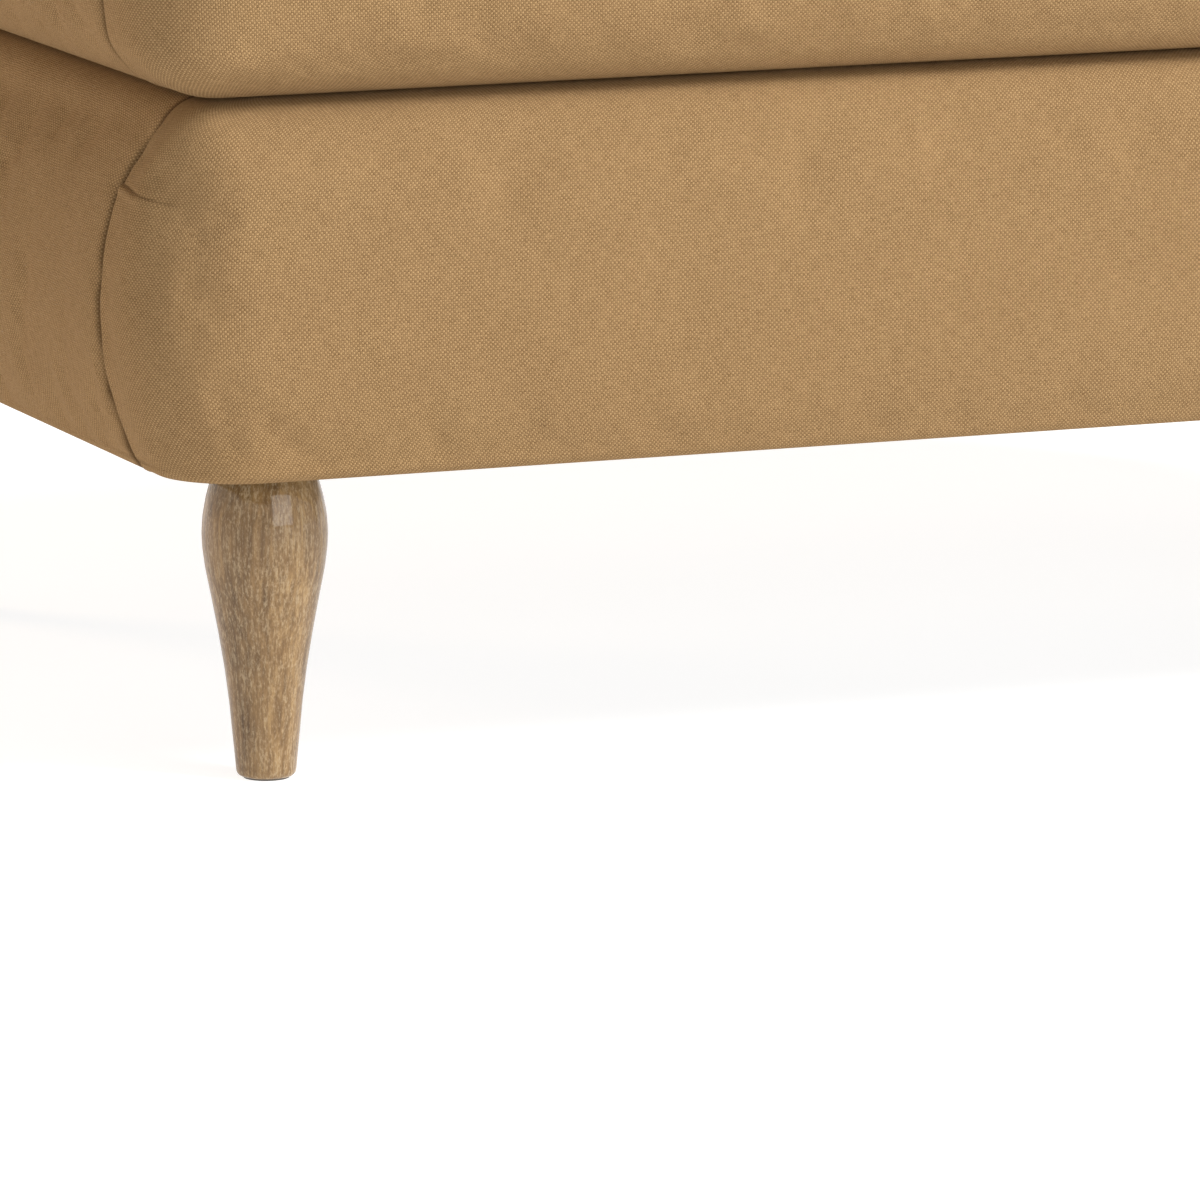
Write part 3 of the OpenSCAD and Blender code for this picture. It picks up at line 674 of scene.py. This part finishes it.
class Nodes:
    """A small builder for one material's node tree."""

    def __init__(self, name):
        self.material = bpy.data.materials.new(name)
        self.material.use_nodes = True
        self.tree = self.material.node_tree
        self.shader = self.tree.nodes["Principled BSDF"]

    def add(self, kind, **values):
        node = self.tree.nodes.new(kind)
        for key, value in values.items():
            setattr(node, key, value)
        return node

    def link(self, source, target):
        self.tree.links.new(source, target)

    def feed(self, value, socket):
        if isinstance(value, (int, float, tuple)):
            socket.default_value = value
        else:
            self.link(value, socket)

    def math(self, operation, a, b=None, c=None):
        node = self.add("ShaderNodeMath", operation=operation)
        for value, socket in zip((a, b, c), node.inputs):
            if value is not None:
                self.feed(value, socket)
        return node.outputs[0]

    def combine(self, x, y, z):
        node = self.add("ShaderNodeCombineXYZ")
        for value, socket in zip((x, y, z), node.inputs):
            self.feed(value, socket)
        return node.outputs[0]

    def stretch(self, place, scales, shift=0.0):
        """Coordinates scaled one by one, and moved along the last."""
        moves = (0.0, 0.0, shift)
        return self.combine(*(self.math("MULTIPLY_ADD", *values) for values in zip(place, scales, moves)))

    def swing(self, value, strength):
        """A texture's swing about its middle value, scaled."""
        return self.math("MULTIPLY", self.math("SUBTRACT", value, 0.5), strength)

    def noise(self, vector, scale, detail=2.0, rough=0.5):
        node = self.add("ShaderNodeTexNoise")
        self.link(vector, node.inputs["Vector"])
        node.inputs["Scale"].default_value = scale
        node.inputs["Detail"].default_value = detail
        node.inputs["Roughness"].default_value = rough
        return node.outputs["Fac"]

    def ramp(self, value, stops):
        node = self.add("ShaderNodeValToRGB")
        self.link(value, node.inputs[0])
        points = node.color_ramp.elements
        while len(points) < len(stops):
            points.new(0.5)
        for point, (position, colour) in zip(points, stops):
            point.position = position
            point.color = (*colour, 1)
        return node.outputs[0]

    def mix(self, share, a, b):
        node = self.add("ShaderNodeMix", data_type="RGBA")
        for value, socket in zip((share, a, b), (node.inputs[0], node.inputs[6], node.inputs[7])):
            self.feed(value, socket)
        return node.outputs[2]

    def bump(self, height, distance, strength=1.0):
        node = self.add("ShaderNodeBump")
        node.inputs["Strength"].default_value = strength
        node.inputs["Distance"].default_value = distance
        self.link(height, node.inputs["Height"])
        self.link(node.outputs[0], self.shader.inputs["Normal"])

    def set(self, **values):
        for key, value in values.items():
            self.feed(value, self.shader.inputs[key.replace("_", " ")])

    def cloth_axes(self):
        node = self.add("ShaderNodeUVMap", uv_map="cloth")
        split = self.add("ShaderNodeSeparateXYZ")
        self.link(node.outputs[0], split.inputs[0])
        return node.outputs[0], split.outputs[0], split.outputs[1]

    def place(self):
        node = self.add("ShaderNodeTexCoord")
        split = self.add("ShaderNodeSeparateXYZ")
        self.link(node.outputs["Object"], split.inputs[0])
        return node.outputs["Object"], split.outputs[0], split.outputs[1], split.outputs[2]


def grey(value):
    return (value, value, value)


# ---------------------------------------------------------------- materials

WEAVE = 2.2 * MM
YARN_SWAY = 1.1 * MM
EMBOSSING = 1.6 * MM
PLY = 3 * MM
OAK_DARK = (0.080, 0.042, 0.015)
OAK_MIDDLE = (0.205, 0.118, 0.046)
OAK_LIGHT = (0.37, 0.235, 0.10)
OAK_PORE = (0.115, 0.060, 0.020, 1)
LIME = (0.46, 0.35, 0.21, 1)
CAMEL_LIGHT = (0.400, 0.255, 0.122)
CAMEL_DARK = (0.165, 0.094, 0.039)


def woven_cloth(name, light, dark, seed):
    """Plain-woven upholstery cloth: over and under yarns, slubs along each yarn, soft mottling and nap, with
    painted shade in its seams.
    """
    m = Nodes(name)
    uv, u, v = m.cloth_axes()
    sway_u = m.swing(m.noise(uv, scale=90.0, detail=2.0), YARN_SWAY)
    sway_v = m.swing(m.noise(m.combine(v, u, seed), scale=70.0, detail=2.0), YARN_SWAY)
    turns = 2 * math.pi / WEAVE
    wave_u = m.math("SINE", m.math("MULTIPLY", m.math("ADD", u, sway_u), turns))
    wave_v = m.math("SINE", m.math("MULTIPLY", m.math("ADD", v, sway_v), turns))
    cross = m.math("MULTIPLY", wave_u, wave_v)
    over = m.math("SMOOTH_MIN", m.math("MAXIMUM", m.math("MULTIPLY_ADD", cross, 2.5, 0.5), 0.0), 1.0, 0.1)
    body = m.math("POWER", m.math("ABSOLUTE", cross), 0.6)
    warp_at = m.combine(m.math("MULTIPLY", u, 900.0), m.math("MULTIPLY", v, 140.0), seed)
    weft_at = m.combine(m.math("MULTIPLY", v, 900.0), m.math("MULTIPLY", u, 140.0), seed + 9.0)
    warp = m.noise(warp_at, scale=1.0, detail=3.0, rough=0.6)
    weft = m.noise(weft_at, scale=1.0, detail=3.0, rough=0.6)
    under = m.math("SUBTRACT", 1.0, over)
    yarn = m.math("ADD", m.math("MULTIPLY", warp, over), m.math("MULTIPLY", weft, under))
    fibre = m.noise(uv, scale=2600.0, detail=2.0, rough=0.7)
    mottle = m.noise(uv, scale=26.0, detail=3.0, rough=0.55)
    broad = m.noise(uv, scale=5.0, detail=2.0, rough=0.5)
    tone = m.math("MULTIPLY_ADD", over, 0.50, 0.03)
    for texture, strength in ((yarn, 1.1), (fibre, 0.6), (mottle, 0.18), (broad, 0.12)):
        tone = m.math("ADD", tone, m.swing(texture, strength))
    tone = m.math("MULTIPLY_ADD", body, 0.35, tone)
    cloth = m.ramp(tone, [(0.0, dark), (1.0, light)])
    # Painted shade: beside the seams and along the dart the cloth is mixed towards a dark shadow colour.
    painted_seam_shade = m.add("ShaderNodeAttribute", attribute_name="painted_crease_shade").outputs["Fac"]
    painted_seam_shadow = (0.40 * dark[0], 0.34 * dark[1], 0.28 * dark[2], 1)
    m.set(Base_Color=m.mix(m.math("MULTIPLY", painted_seam_shade, 0.88), cloth, painted_seam_shadow))
    m.set(Roughness=m.math("MULTIPLY_ADD", fibre, 0.15, 0.78))
    m.set(Specular_IOR_Level=0.06, Sheen_Weight=0.06, Sheen_Roughness=0.5, Sheen_Tint=(*light, 1))
    height = m.math("MULTIPLY_ADD", body, 0.8, m.math("MULTIPLY", yarn, 0.35))
    height = m.math("ADD", height, m.math("MULTIPLY", fibre, 0.12))
    m.bump(height, 0.34 * MM, 1.0)
    return m.material


def lining_cloth(name, light, dark):
    """Thin non-woven lining: pressed fibres with a fine embossed grid."""
    m = Nodes(name)
    uv, u, v = m.cloth_axes()
    turns = 2 * math.pi / EMBOSSING
    wave_u = m.math("SINE", m.math("MULTIPLY", u, turns))
    wave_v = m.math("SINE", m.math("MULTIPLY", v, turns))
    dots = m.math("MULTIPLY", wave_u, wave_v)
    fibre = m.noise(uv, scale=1100.0, detail=4.0, rough=0.7)
    cloud = m.noise(uv, scale=30.0, detail=3.0, rough=0.6)
    tone = m.math("ADD", m.math("MULTIPLY", fibre, 0.7), m.math("MULTIPLY", cloud, 0.5))
    tone = m.math("MULTIPLY_ADD", dots, 0.1, m.math("SUBTRACT", tone, 0.15))
    m.set(Base_Color=m.ramp(tone, [(0.0, dark), (1.0, light)]))
    m.set(Roughness=m.math("MULTIPLY_ADD", fibre, 0.2, 0.7))
    m.set(Specular_IOR_Level=0.25, Sheen_Weight=0.15)
    m.bump(m.math("MULTIPLY_ADD", dots, 0.4, fibre), 0.15 * MM, 0.7)
    return m.material


def limed_oak(name, seed):
    """Turned oak, limed and lacquered: long grain along the leg, pale lime in the pores."""
    m = Nodes(name)
    at, x, y, z = m.place()
    shift = seed * 0.37
    bend = m.noise(m.stretch((x, y, z), (12.0, 12.0, 5.0), shift), scale=1.0, detail=2.0)
    bent = (m.math("MULTIPLY_ADD", bend, 0.012, x), y, z)
    grain = m.noise(m.stretch(bent, (420.0, 420.0, 14.0), shift), scale=1.0, detail=4.0, rough=0.6)
    bands = m.noise(m.stretch(bent, (90.0, 40.0, 3.0), shift), scale=1.0, detail=3.0, rough=0.5)
    pores = m.noise(m.stretch(bent, (1500.0, 1500.0, 70.0), shift), scale=1.0, detail=3.0, rough=0.65)
    lime = m.noise(m.stretch((x, y, z), (650.0, 650.0, 12.0), shift + 5), scale=1.0, detail=4.0, rough=0.65)
    fleck = m.noise(m.stretch((x, y, z), (1100.0, 1100.0, 420.0), shift), scale=1.0, detail=3.0, rough=0.7)
    patch = m.noise(at, scale=38.0, detail=3.0, rough=0.6)
    tone = m.math("ADD", m.math("MULTIPLY", grain, 0.75), m.math("MULTIPLY", bands, 0.55))
    tone = m.math("SUBTRACT", tone, 0.18)
    wood = m.ramp(tone, [(0.25, OAK_DARK), (0.5, OAK_MIDDLE), (0.75, OAK_LIGHT)])
    white = m.math("MULTIPLY", m.math("SUBTRACT", lime, 0.46), m.math("MULTIPLY_ADD", patch, 6.0, -1.2))
    white = m.math("MULTIPLY_ADD", m.math("SUBTRACT", fleck, 0.5), 2.2, white)
    white = m.math("MINIMUM", m.math("MAXIMUM", white, 0.0), 0.5)
    colour = m.mix(white, wood, LIME)
    dark = m.math("MULTIPLY", m.math("SUBTRACT", pores, 0.54), 5.0)
    dark = m.math("MULTIPLY_ADD", m.math("SUBTRACT", 0.5, fleck), 2.4, dark)
    dark = m.math("MINIMUM", m.math("MAXIMUM", dark, 0.0), 0.5)
    m.set(Base_Color=m.mix(dark, colour, OAK_PORE))
    m.set(Roughness=m.math("MULTIPLY_ADD", grain, 0.25, 0.3))
    m.set(Coat_Weight=0.6, Coat_Roughness=0.06, Coat_IOR=1.5, Specular_IOR_Level=0.1)
    m.bump(m.math("MULTIPLY_ADD", pores, 0.6, grain), 0.25 * MM, 0.5)
    return m.material


def sawn_wood(name, light, dark, layers):
    """Plain inner timber; with layers it shows the plies of plywood."""
    m = Nodes(name)
    at, x, y, z = m.place()
    grain = m.noise(m.stretch((x, y, z), (25.0, 25.0, 300.0)), scale=1.0, detail=4.0, rough=0.6)
    cloud = m.noise(at, scale=14.0, detail=3.0, rough=0.5)
    tone = m.math("ADD", m.math("MULTIPLY", grain, 0.7), m.math("MULTIPLY", cloud, 0.4))
    if layers:
        plies = m.math("SINE", m.math("MULTIPLY", m.math("ADD", x, y), 2 * math.pi / PLY))
        tone = m.math("MULTIPLY_ADD", plies, 0.08, tone)
    m.set(Base_Color=m.ramp(tone, [(0.3, dark), (0.8, light)]))
    m.set(Roughness=m.math("MULTIPLY_ADD", grain, 0.2, 0.6))
    m.bump(grain, 0.2 * MM, 0.6)
    return m.material


def brushed_metal(name, colour, rough):
    """Plated or brushed steel with fine drawn lines and handling marks."""
    m = Nodes(name)
    at, x, y, z = m.place()
    lines = m.noise(m.stretch((x, y, z), (3000.0, 200.0, 3000.0)), scale=1.0, detail=2.0)
    marks = m.noise(at, scale=120.0, detail=4.0, rough=0.6)
    tone = m.math("ADD", m.math("MULTIPLY", lines, 0.6), m.math("MULTIPLY", marks, 0.4))
    dark = tuple(0.72 * c for c in colour)
    m.set(Base_Color=m.ramp(tone, [(0.2, dark), (0.8, colour)]), Metallic=1.0)
    m.set(Roughness=m.math("MULTIPLY_ADD", tone, 0.25, rough))
    m.bump(lines, 0.03 * MM, 0.5)
    return m.material


def foam_block(name):
    """Upholstery foam: fine open cells with a soft cloud of tone."""
    m = Nodes(name)
    at = m.place()[0]
    cells = m.noise(at, scale=900.0, detail=3.0, rough=0.7)
    cloud = m.noise(at, scale=20.0, detail=2.0)
    tone = m.math("ADD", m.math("MULTIPLY", cells, 0.6), m.math("MULTIPLY", cloud, 0.4))
    m.set(Base_Color=m.ramp(tone, [(0.3, (0.62, 0.55, 0.36)), (0.7, (0.82, 0.77, 0.58))]))
    m.set(Roughness=m.math("MULTIPLY_ADD", cells, 0.1, 0.85))
    m.bump(cells, 0.4 * MM, 0.8)
    return m.material


def glide_plastic(name):
    """Dark moulded plastic with a fine grain."""
    m = Nodes(name)
    at = m.place()[0]
    grain = m.noise(at, scale=700.0, detail=3.0, rough=0.6)
    m.set(Base_Color=m.ramp(grain, [(0.3, (0.055, 0.045, 0.036)), (0.7, (0.10, 0.085, 0.07))]))
    m.set(Roughness=m.math("MULTIPLY_ADD", grain, 0.2, 0.45))
    m.bump(grain, 0.1 * MM, 0.5)
    return m.material


cover_cloth = woven_cloth("camel_cloth", CAMEL_LIGHT, CAMEL_DARK, 0.0)
lining = lining_cloth("charcoal_lining", (0.075, 0.070, 0.066), (0.022, 0.020, 0.019))
plywood = sawn_wood("birch_plywood", (0.62, 0.45, 0.25), (0.42, 0.27, 0.13), True)
softwood = sawn_wood("planed_softwood", (0.60, 0.41, 0.21), (0.40, 0.24, 0.10), False)
foam = foam_block("seat_foam")
glide = glide_plastic("glide_plastic")
steel = brushed_metal("satin_steel", (0.62, 0.62, 0.63), 0.28)
zinc = brushed_metal("zinc_plate", (0.66, 0.64, 0.57), 0.35)
SLOT_MATERIALS = {"carcass": plywood, "batten": softwood, "foam": foam, "cover": cover_cloth,
                  "lining": lining, "screws": zinc, "steel": steel, "glide": glide}
for part in frame["record"]["subparts"]:
    material = SLOT_MATERIALS.get(part["material_slot"])
    if material:
        mesh = frame["nodes"][part["node"]].data
        mesh.materials.clear()
        mesh.materials.append(material)


# ---------------------------------------------------------------- pieces

def finish_piece(obj, body, material, nodes):
    """Material and body of a piece, and the CAD nodes that it stands for."""
    obj.data.materials.append(material)
    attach(obj, body)
    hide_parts(*nodes)


def fine_steps(length):
    """Shares of a length, closest at both ends, where the seams are."""
    return steps(length, 0.7 * MM, 1.14, lambda d: 2.4 * MM if d < 130 * MM else 5 * MM) / length


# About how long the cloth of a front and of an end is, in metres.
FRONT_CLOTH_L, END_CLOTH_L = 1.05, 0.46
FRONT_SPREAD = fine_steps(FRONT_CLOTH_L)
END_SPREAD = fine_steps(END_CLOTH_L)
BASE_FILL = 0.95
LID_FILL = 0.9


def add_pad(name, body, nodes, surfaces):
    """A padded piece in the cover's cloth, from its cover, back, cloth coordinates and painted seam shade."""
    pad = pad_object(name, *surfaces)
    finish_piece(pad, body, cover_cloth, nodes)


def under_hinges(cover, back, over):
    """Both surfaces of a pad flattened under the hinge leaves, its back a little deeper than its cover."""
    deeper = np.array([0, 0, -PAD_LEAST if over else PAD_LEAST])
    return press_under_hinges(cover, over), press_under_hinges(back + deeper, over) - deeper


def add_side(side, line, spread, seed, front, opposite):
    """One side's panel on the base and boxing on the lid; the opposite side is the same form turned round."""
    cloth = side if front else side + "_end"
    for build, change, name, body, nodes, fill in (
            (base_panel, 0, cloth + "_panel", "base", [cloth + "_cover", side + "_foam"], BASE_FILL),
            (lid_band, 5, "lid_" + side + "_boxing", "lid", ["lid_" + side + "_band"], LID_FILL)):
        cover, back, uv, painted_seam_shade = build(line, spread, seed + change, front)
        if opposite:
            cover, back = turned(cover), turned(back)
        if opposite and front:
            cover, back = under_hinges(cover, back, body == "lid")
        add_pad(name, body, nodes, (cover, back, uv, painted_seam_shade))


def upholstery():
    """Covers of the base and of the lid, all round and on top."""
    add_side("front", front_line, FRONT_SPREAD, 11, front=True, opposite=False)
    add_side("back", front_line, FRONT_SPREAD, 31, front=True, opposite=True)
    add_side("left", end_line, END_SPREAD, 51, front=False, opposite=False)
    add_side("right", end_line, END_SPREAD, 61, front=False, opposite=True)
    add_pad("lid_top_panel", "lid", ["lid_top_cover", "lid_foam"], lid_top())


# Radius and height in millimetres, from the foot's rounded edge up to the neck under the base.
LEG_OUTLINE = [(12.4, 1.0), (13.6, 1.2), (14.2, 2.2), (14.5, 5), (15.2, 13), (16.3, 24), (17.4, 36),
               (19.6, 53), (22.4, 70), (25.6, 87), (28.4, 101), (29.7, 111), (30.0, 118), (29.5, 126),
               (27.9, 135), (26.0, 142), (24.2, 147), (23.5, 150)]
LEG_RINGS = 200
LEG_ROUND = 96
LEG_SMOOTHINGS = 5
OUT_OF_ROUND = 0.0025
OVAL = 0.002


def leg_profile():
    """A smooth curve through the leg's outline, as radius and height in metres."""
    fine = resample(np.array(LEG_OUTLINE, float), np.linspace(0, 1, LEG_RINGS))
    for _ in range(LEG_SMOOTHINGS):
        fine[1:-1] = (fine[:-2] + 2 * fine[1:-1] + fine[2:]) / 4
    return fine * MM


def turned_leg(name, node, seed):
    """A leg on the lathe's axis: rings along its profile, closed by a fan at each end."""
    low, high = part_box(node)
    centre = (low + high) / 2
    profile = leg_profile()
    angle = np.linspace(0, 2 * math.pi, LEG_ROUND, endpoint=False)
    wobble = 1 + OUT_OF_ROUND * np.sin(3 * angle + seed) + OVAL * np.sin(2 * angle + 2 * seed)
    ring = np.stack([np.cos(angle), np.sin(angle)], -1) * wobble[:, None]
    rows = [np.concatenate([ring * r, np.full((LEG_ROUND, 1), z)], 1) for r, z in profile]
    ends = [[[0, 0, profile[0][1]]], [[0, 0, profile[-1][1]]]]
    numbers = np.arange(LEG_RINGS * LEG_ROUND).reshape(LEG_RINGS, LEG_ROUND)
    numbers = np.concatenate([numbers, numbers[:, :1]], 1)
    low_end = LEG_RINGS * LEG_ROUND
    faces = list(quads(numbers))
    faces += [(b, a, low_end) for a, b in zip(numbers[0], numbers[0, 1:])]
    faces += [(a, b, low_end + 1) for a, b in zip(numbers[-1], numbers[-1, 1:])]
    obj = add_object(name, np.concatenate(rows + ends), faces)
    obj.location = (centre.x, centre.y, 0)
    finish_piece(obj, "base", limed_oak(name + "_oak", seed), [node])


def room_ring(half_x, front, back, r, z):
    """A closed outline of the storage room at one height."""
    hy = (back - front) / 2
    loop = []
    for k, (side_x, side_y) in enumerate(((1, 1), (-1, 1), (-1, -1), (1, -1))):
        a = np.linspace(0, math.pi / 2, 12) + k * math.pi / 2
        loop.append(np.stack([side_x * (half_x - r) + r * np.cos(a), side_y * (hy - r) + r * np.sin(a)], -1))
    loop = np.concatenate(loop + [loop[0][:1]])
    flat = resample(loop, np.linspace(0, 1, ROOM_STEPS)) + [0, (front + back) / 2]
    return np.concatenate([flat, np.full((len(flat), 1), z)], 1)


LINING_T = 1.5 * MM
ROOM_STEPS = 420
WALL_CORNER_R = 8 * MM
FLOOR_EDGE_R = 6 * MM
RIM_GAP = 6 * MM
LEDGE_SAG = 1.0 * MM
ROOM_WAVE = 0.5 * MM


def storage_lining():
    """Cloth lining of the storage room, over the hinge rail at the back."""
    x = ROOM_HIGH.x - LINING_T
    front = ROOM_LOW.y + LINING_T
    back = ROOM_HIGH.y - LINING_T
    ledge = RAIL_LOW.y - LINING_T
    floor_z = ROOM_LOW.z + LINING_T
    under = RAIL_LOW.z - LINING_T
    walls = [(ledge, z) for z in np.linspace(BASE_TOP - RIM_GAP, under, 8)]
    for t in np.linspace(0, 1, 6)[1:]:
        walls.append((ledge + (back - ledge) * t, under - LEDGE_SAG * math.sin(math.pi * t)))
    walls += [(back, z) for z in np.linspace(under, floor_z + FLOOR_EDGE_R, 22)[1:]]
    grid = [room_ring(x, front, wall, WALL_CORNER_R, z) for wall, z in walls]
    for a in np.radians([30, 60, 90]):
        turn = FLOOR_EDGE_R * (1 - math.cos(a))
        z = floor_z + FLOOR_EDGE_R * (1 - math.sin(a))
        grid.append(room_ring(x - turn, front + turn, back - turn, FLOOR_EDGE_R, z))
    half_depth = (back - front) / 2
    for inner in np.linspace(2 * FLOOR_EDGE_R, half_depth - 0.5 * MM, 44):
        r = min(FLOOR_EDGE_R, half_depth - inner - 0.2 * MM)
        grid.append(room_ring(x - inner, front + inner, back - inner, r, floor_z))
    grid = np.array(grid)
    across, deep, z = grid[..., 0], grid[..., 1], grid[..., 2]
    ripple = ROOM_WAVE * waves(across + deep, z * 1.4, 91, 46 * MM)
    ripple = ripple + ROOM_WAVE * waves(across, deep - z, 92, 110 * MM)
    loose = smooth(0, 30 * MM, BASE_TOP - z)
    grid = grid + normals(grid) * (np.abs(ripple) * loose)[..., None]
    obj = grid_object("room_lining", grid, cloth_uv(grid, 0))
    finish_piece(obj, "base", lining, ["storage_lining"])


SHEET_LIFT = 0.4 * MM
SHEET_EDGE = 0.3 * MM
SHEET_WAVE = 0.25 * MM
SHEET_SEED = 16


def flat_sheet(hx, hy, r, z, rise):
    """A level sheet that faces down, with rounded corners, a turned edge and slight waves."""
    x, y, half = rounded_grid(hx, hy, r, first=1.0 * MM, grow=1.3, largest_x=8 * MM, largest_y=8 * MM)
    edge = np.minimum(half - np.abs(x), hy - np.abs(y))
    height = z + SHEET_EDGE * bump(edge, 2 * MM) + rise * smooth(0, 120 * MM, edge)
    height = height + SHEET_WAVE * waves(x, y, SHEET_SEED, 60 * MM) * smooth(4 * MM, 20 * MM, edge)
    grid = np.stack([x, y, height], -1)[::-1]
    return grid, grid[..., :2]


def flat_lining(name, node, body, r, rise):
    """A stretched lining in its CAD node's place, with its middle raised by rise."""
    low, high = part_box(node)
    grid, uv = flat_sheet(high.x, high.y, r, low.z + SHEET_LIFT, rise)
    obj = grid_object(name, grid, uv)
    finish_piece(obj, body, lining, [node])


upholstery()
storage_lining()
flat_lining("lid_lining_sheet", "lid_lining", "lid", r=20 * MM, rise=0.0)
flat_lining("dust_cover_sheet", "dust_cover", "base", r=36 * MM, rise=0.2 * MM)
for leg_seed, corner in enumerate(("front_left", "front_right", "back_left", "back_right")):
    turned_leg(corner + "_turned_leg", corner + "_leg", leg_seed)


# ---------------------------------------------------------------- floor, light and camera

FLOOR_R = 22
FLOOR_TURN_R = 12
FLOOR_ROUND = 97


def pale_floor():
    """A level floor that curves up far away, so that it has no horizon."""
    flat = [(r, 0) for r in (0, 2, 8, FLOOR_R)]
    turn = np.radians(np.arange(6, 90, 6))
    curve = [(FLOOR_R + FLOOR_TURN_R * math.sin(a), FLOOR_TURN_R - FLOOR_TURN_R * math.cos(a)) for a in turn]
    angle = np.linspace(0, 2 * math.pi, FLOOR_ROUND)
    grid = np.array([[(r * math.cos(a), r * math.sin(a), z) for a in angle] for r, z in flat + curve])
    obj = add_object("studio_floor", grid[::-1].reshape(-1, 3), grid_faces(*grid.shape[:2]))
    m = Nodes("pale_floor")
    cloud = m.noise(m.place()[0], scale=3.0, detail=3.0)
    m.set(Base_Color=m.ramp(cloud, [(0.2, grey(0.48)), (0.8, grey(0.52))]), Roughness=0.7)
    m.set(Specular_IOR_Level=0.1, Emission_Color=(1, 1, 1, 1), Emission_Strength=0.82)
    obj.data.materials.append(m.material)


def area_light(name, target, azimuth, elevation, distance, size, power, colour=(1, 1, 1)):
    """An area light placed by its direction from the target; azimuth 0 is in front, positive to the right."""
    a, e = math.radians(azimuth), math.radians(elevation)
    away = Vector((math.sin(a) * math.cos(e), -math.cos(a) * math.cos(e), math.sin(e)))
    place = Vector(target) + away * distance
    data = bpy.data.lights.new(name, "AREA")
    data.shape = "RECTANGLE"
    data.size, data.size_y = size
    data.energy = power
    data.color = colour
    obj = bpy.data.objects.new(name, data)
    obj.location = place
    obj.rotation_euler = (Vector(target) - place).to_track_quat("-Z", "Y").to_euler()
    bpy.context.scene.collection.objects.link(obj)
    return obj


def studio():
    """Warm white surroundings, a high key from the right, a low broad window and a warm fill on the end."""
    pale_floor()
    world = bpy.data.worlds.new("studio_world")
    bpy.context.scene.world = world
    world.use_nodes = True
    background = world.node_tree.nodes["Background"]
    background.inputs["Color"].default_value = (1, 0.92, 0.83, 1)
    background.inputs["Strength"].default_value = 0.2
    area_light("key_light", (-0.1, -0.25, 0.2), azimuth=40, elevation=50, distance=4.8,
               size=(1.4, 1.8), power=252)
    area_light("low_window", (-0.4, -0.23, 0.13), azimuth=14, elevation=13, distance=4.0,
               size=(2.8, 1.6), power=48)
    fill = area_light("left_fill", (-0.48, 0, 0.2), azimuth=-147, elevation=15, distance=4.0,
                      size=(1.6, 1.2), power=66, colour=(1.0, 0.70, 0.43))
    fill.visible_glossy = False


# The camera stands back from a corner of the body, a little aside and down, in millimetres and degrees.
BODY_CORNER = (-465, -300, 150)
CAMERA_AWAY = 4639
CAMERA_RIGHT = 191.2
CAMERA_DOWN = 49.9
CAMERA_YAW = 22.14
CAMERA_PITCH = 10.31
CAMERA_SENSOR = 36
CAMERA_LENS = 300


def photo_camera():
    """The photograph's own long-lens close view of the front left corner."""
    yaw, pitch = math.radians(CAMERA_YAW), math.radians(CAMERA_PITCH)
    away = Vector((math.sin(yaw) * math.cos(pitch), math.cos(yaw) * math.cos(pitch), -math.sin(pitch)))
    right = Vector((math.cos(yaw), -math.sin(yaw), 0))
    up = right.cross(away)
    data = bpy.data.cameras.new("photo_camera")
    data.sensor_width = CAMERA_SENSOR
    data.lens = CAMERA_LENS
    data.clip_start, data.clip_end = 0.1, 300
    obj = bpy.data.objects.new("photo_camera", data)
    aside = right * CAMERA_RIGHT * MM - up * CAMERA_DOWN * MM
    obj.location = Vector(BODY_CORNER) * MM + aside - away * CAMERA_AWAY * MM
    obj.rotation_euler = away.to_track_quat("-Z", "Y").to_euler()
    bpy.context.scene.collection.objects.link(obj)
    bpy.context.scene.camera = obj


studio()
photo_camera()
scene = bpy.context.scene
scene.view_settings.view_transform = "Standard"
scene.view_settings.look = "None"
